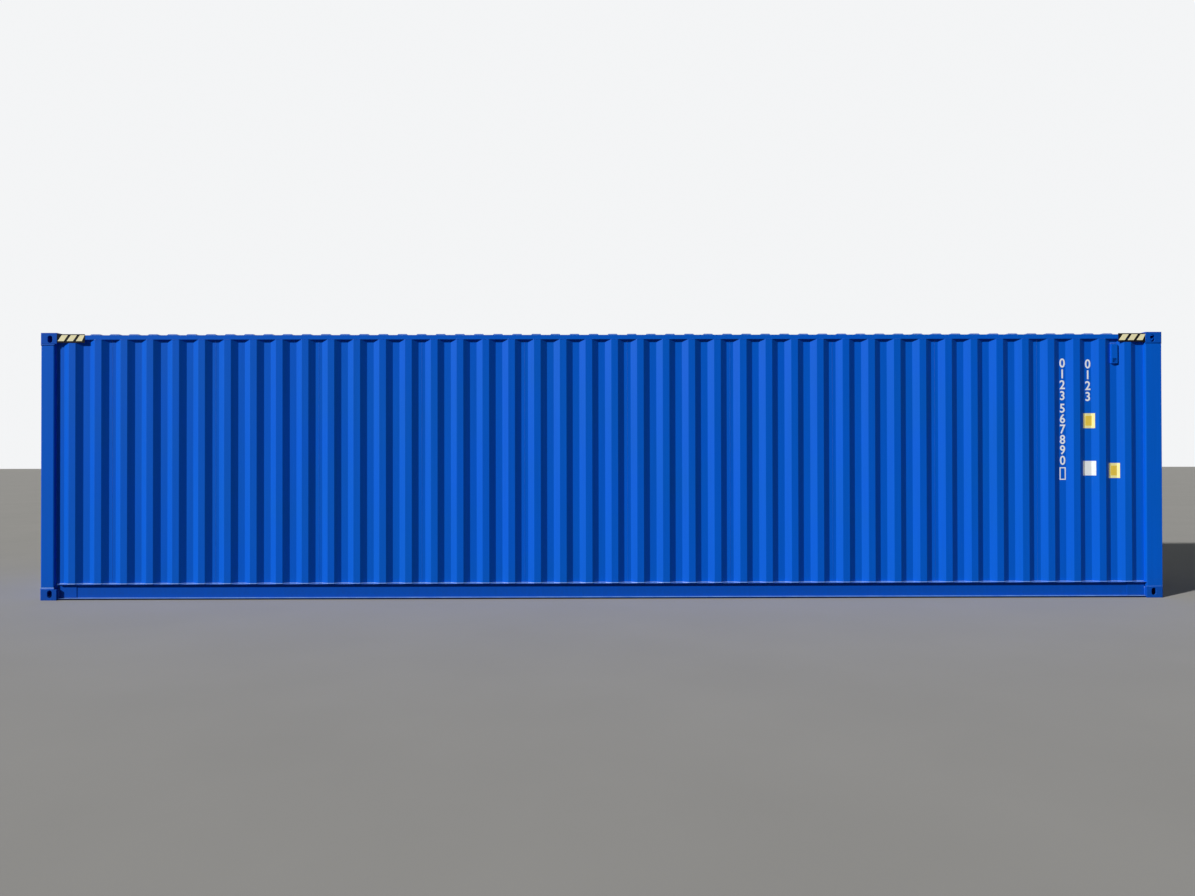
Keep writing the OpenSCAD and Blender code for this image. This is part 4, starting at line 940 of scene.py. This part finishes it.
def shrunk(box, rim):
    left, right, low, high = box
    return left + rim, right - rim, low + rim, high - rim


def makeMarks(setup):
    lift = setup["lift"]
    for index, column in enumerate(setup["columns"]):
        addNumbers(f"numbers_{index + 1}", *column, setup)
    for name, box in setup["labels"]:
        addWrapped(name, box, filmPale, lift)
        addWrapped(name + "_field", shrunk(box, setup["border"]), filmGold, lift + setup["fieldLift"])
    addWrapped("bare_plate", setup["bare"], filmWhite, lift)
    left, right, low, high = setup["frame"]
    innerLeft, innerRight, innerLow, innerHigh = shrunk(setup["frame"], setup["frameWidth"])
    addWrapped("box_left", (left, innerLeft, low, high), filmWhite, lift)
    addWrapped("box_right", (innerRight, right, low, high), filmWhite, lift)
    addWrapped("box_top", (innerLeft, innerRight, innerHigh, high), filmWhite, lift)
    addWrapped("box_bottom", (innerLeft, innerRight, low, innerLow), filmWhite, lift)


makeMarks(marks)
print("stripes and marks ready")

# Painted weld round the two ventilators
ventWeld = {"half": 0.032, "width": 0.0028, "height": 0.004}


def makeVentWelds(setup):
    low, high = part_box("ventilators")
    half = setup["half"]
    runs = []
    for x, side in ((high.x - half, 1), (low.x + half, -1)):
        left, right, y = x - half, x + half, side * recessY
        for start, end, across in (((left, y, low.z), (left, y, high.z), (-1, 0, 0)),
                                   ((right, y, low.z), (right, y, high.z), (1, 0, 0)),
                                   ((left, y, low.z), (right, y, low.z), (0, 0, -1)),
                                   ((left, y, high.z), (right, y, high.z), (0, 0, 1))):
            runs.append(beadRings([start, end], across, (0, -side, 0), filletSection,
                                  setup["width"], setup["height"]))
    addBeads("vent_welds", runs)


makeVentWelds(ventWeld)
print("ventilator welds ready")

# Stage: a plain floor just under the container, which bounces less light than the camera sees on it
stage = {"half": 90, "drop": 0.0005, "seen": (0.45, 0.44, 0.425, 1), "bounced": (0.17, 0.17, 0.17, 1)}


def makeFloor(setup):
    half, z = setup["half"], -setup["drop"]
    mesh = bpy.data.meshes.new("floor")
    mesh.from_pydata([(-half, -half, z), (half, -half, z), (half, half, z), (-half, half, z)],
                     [], [(0, 1, 2, 3)])
    made, tree, shader, place = startMaterial("floorPale", {"Roughness": 0.9, "Specular IOR Level": 0.1})
    tone = spread(tree, noise(tree, place, 0.7, 4), 0.3, 0.7, 0.97, 1.02)
    colour = mixColour(tree, seenRays(tree), setup["bounced"], setup["seen"])
    join(tree, shader, {"Base Color": shaded(tree, colour, tone)})
    mesh.materials.append(made)
    floor = bpy.data.objects.new("floor", mesh)
    bpy.context.scene.collection.objects.link(floor)


makeFloor(stage)
makeCamera(camera)
makeLight(light)
bpy.context.scene.view_settings.view_transform = "Standard"
print("stage, camera and light ready")
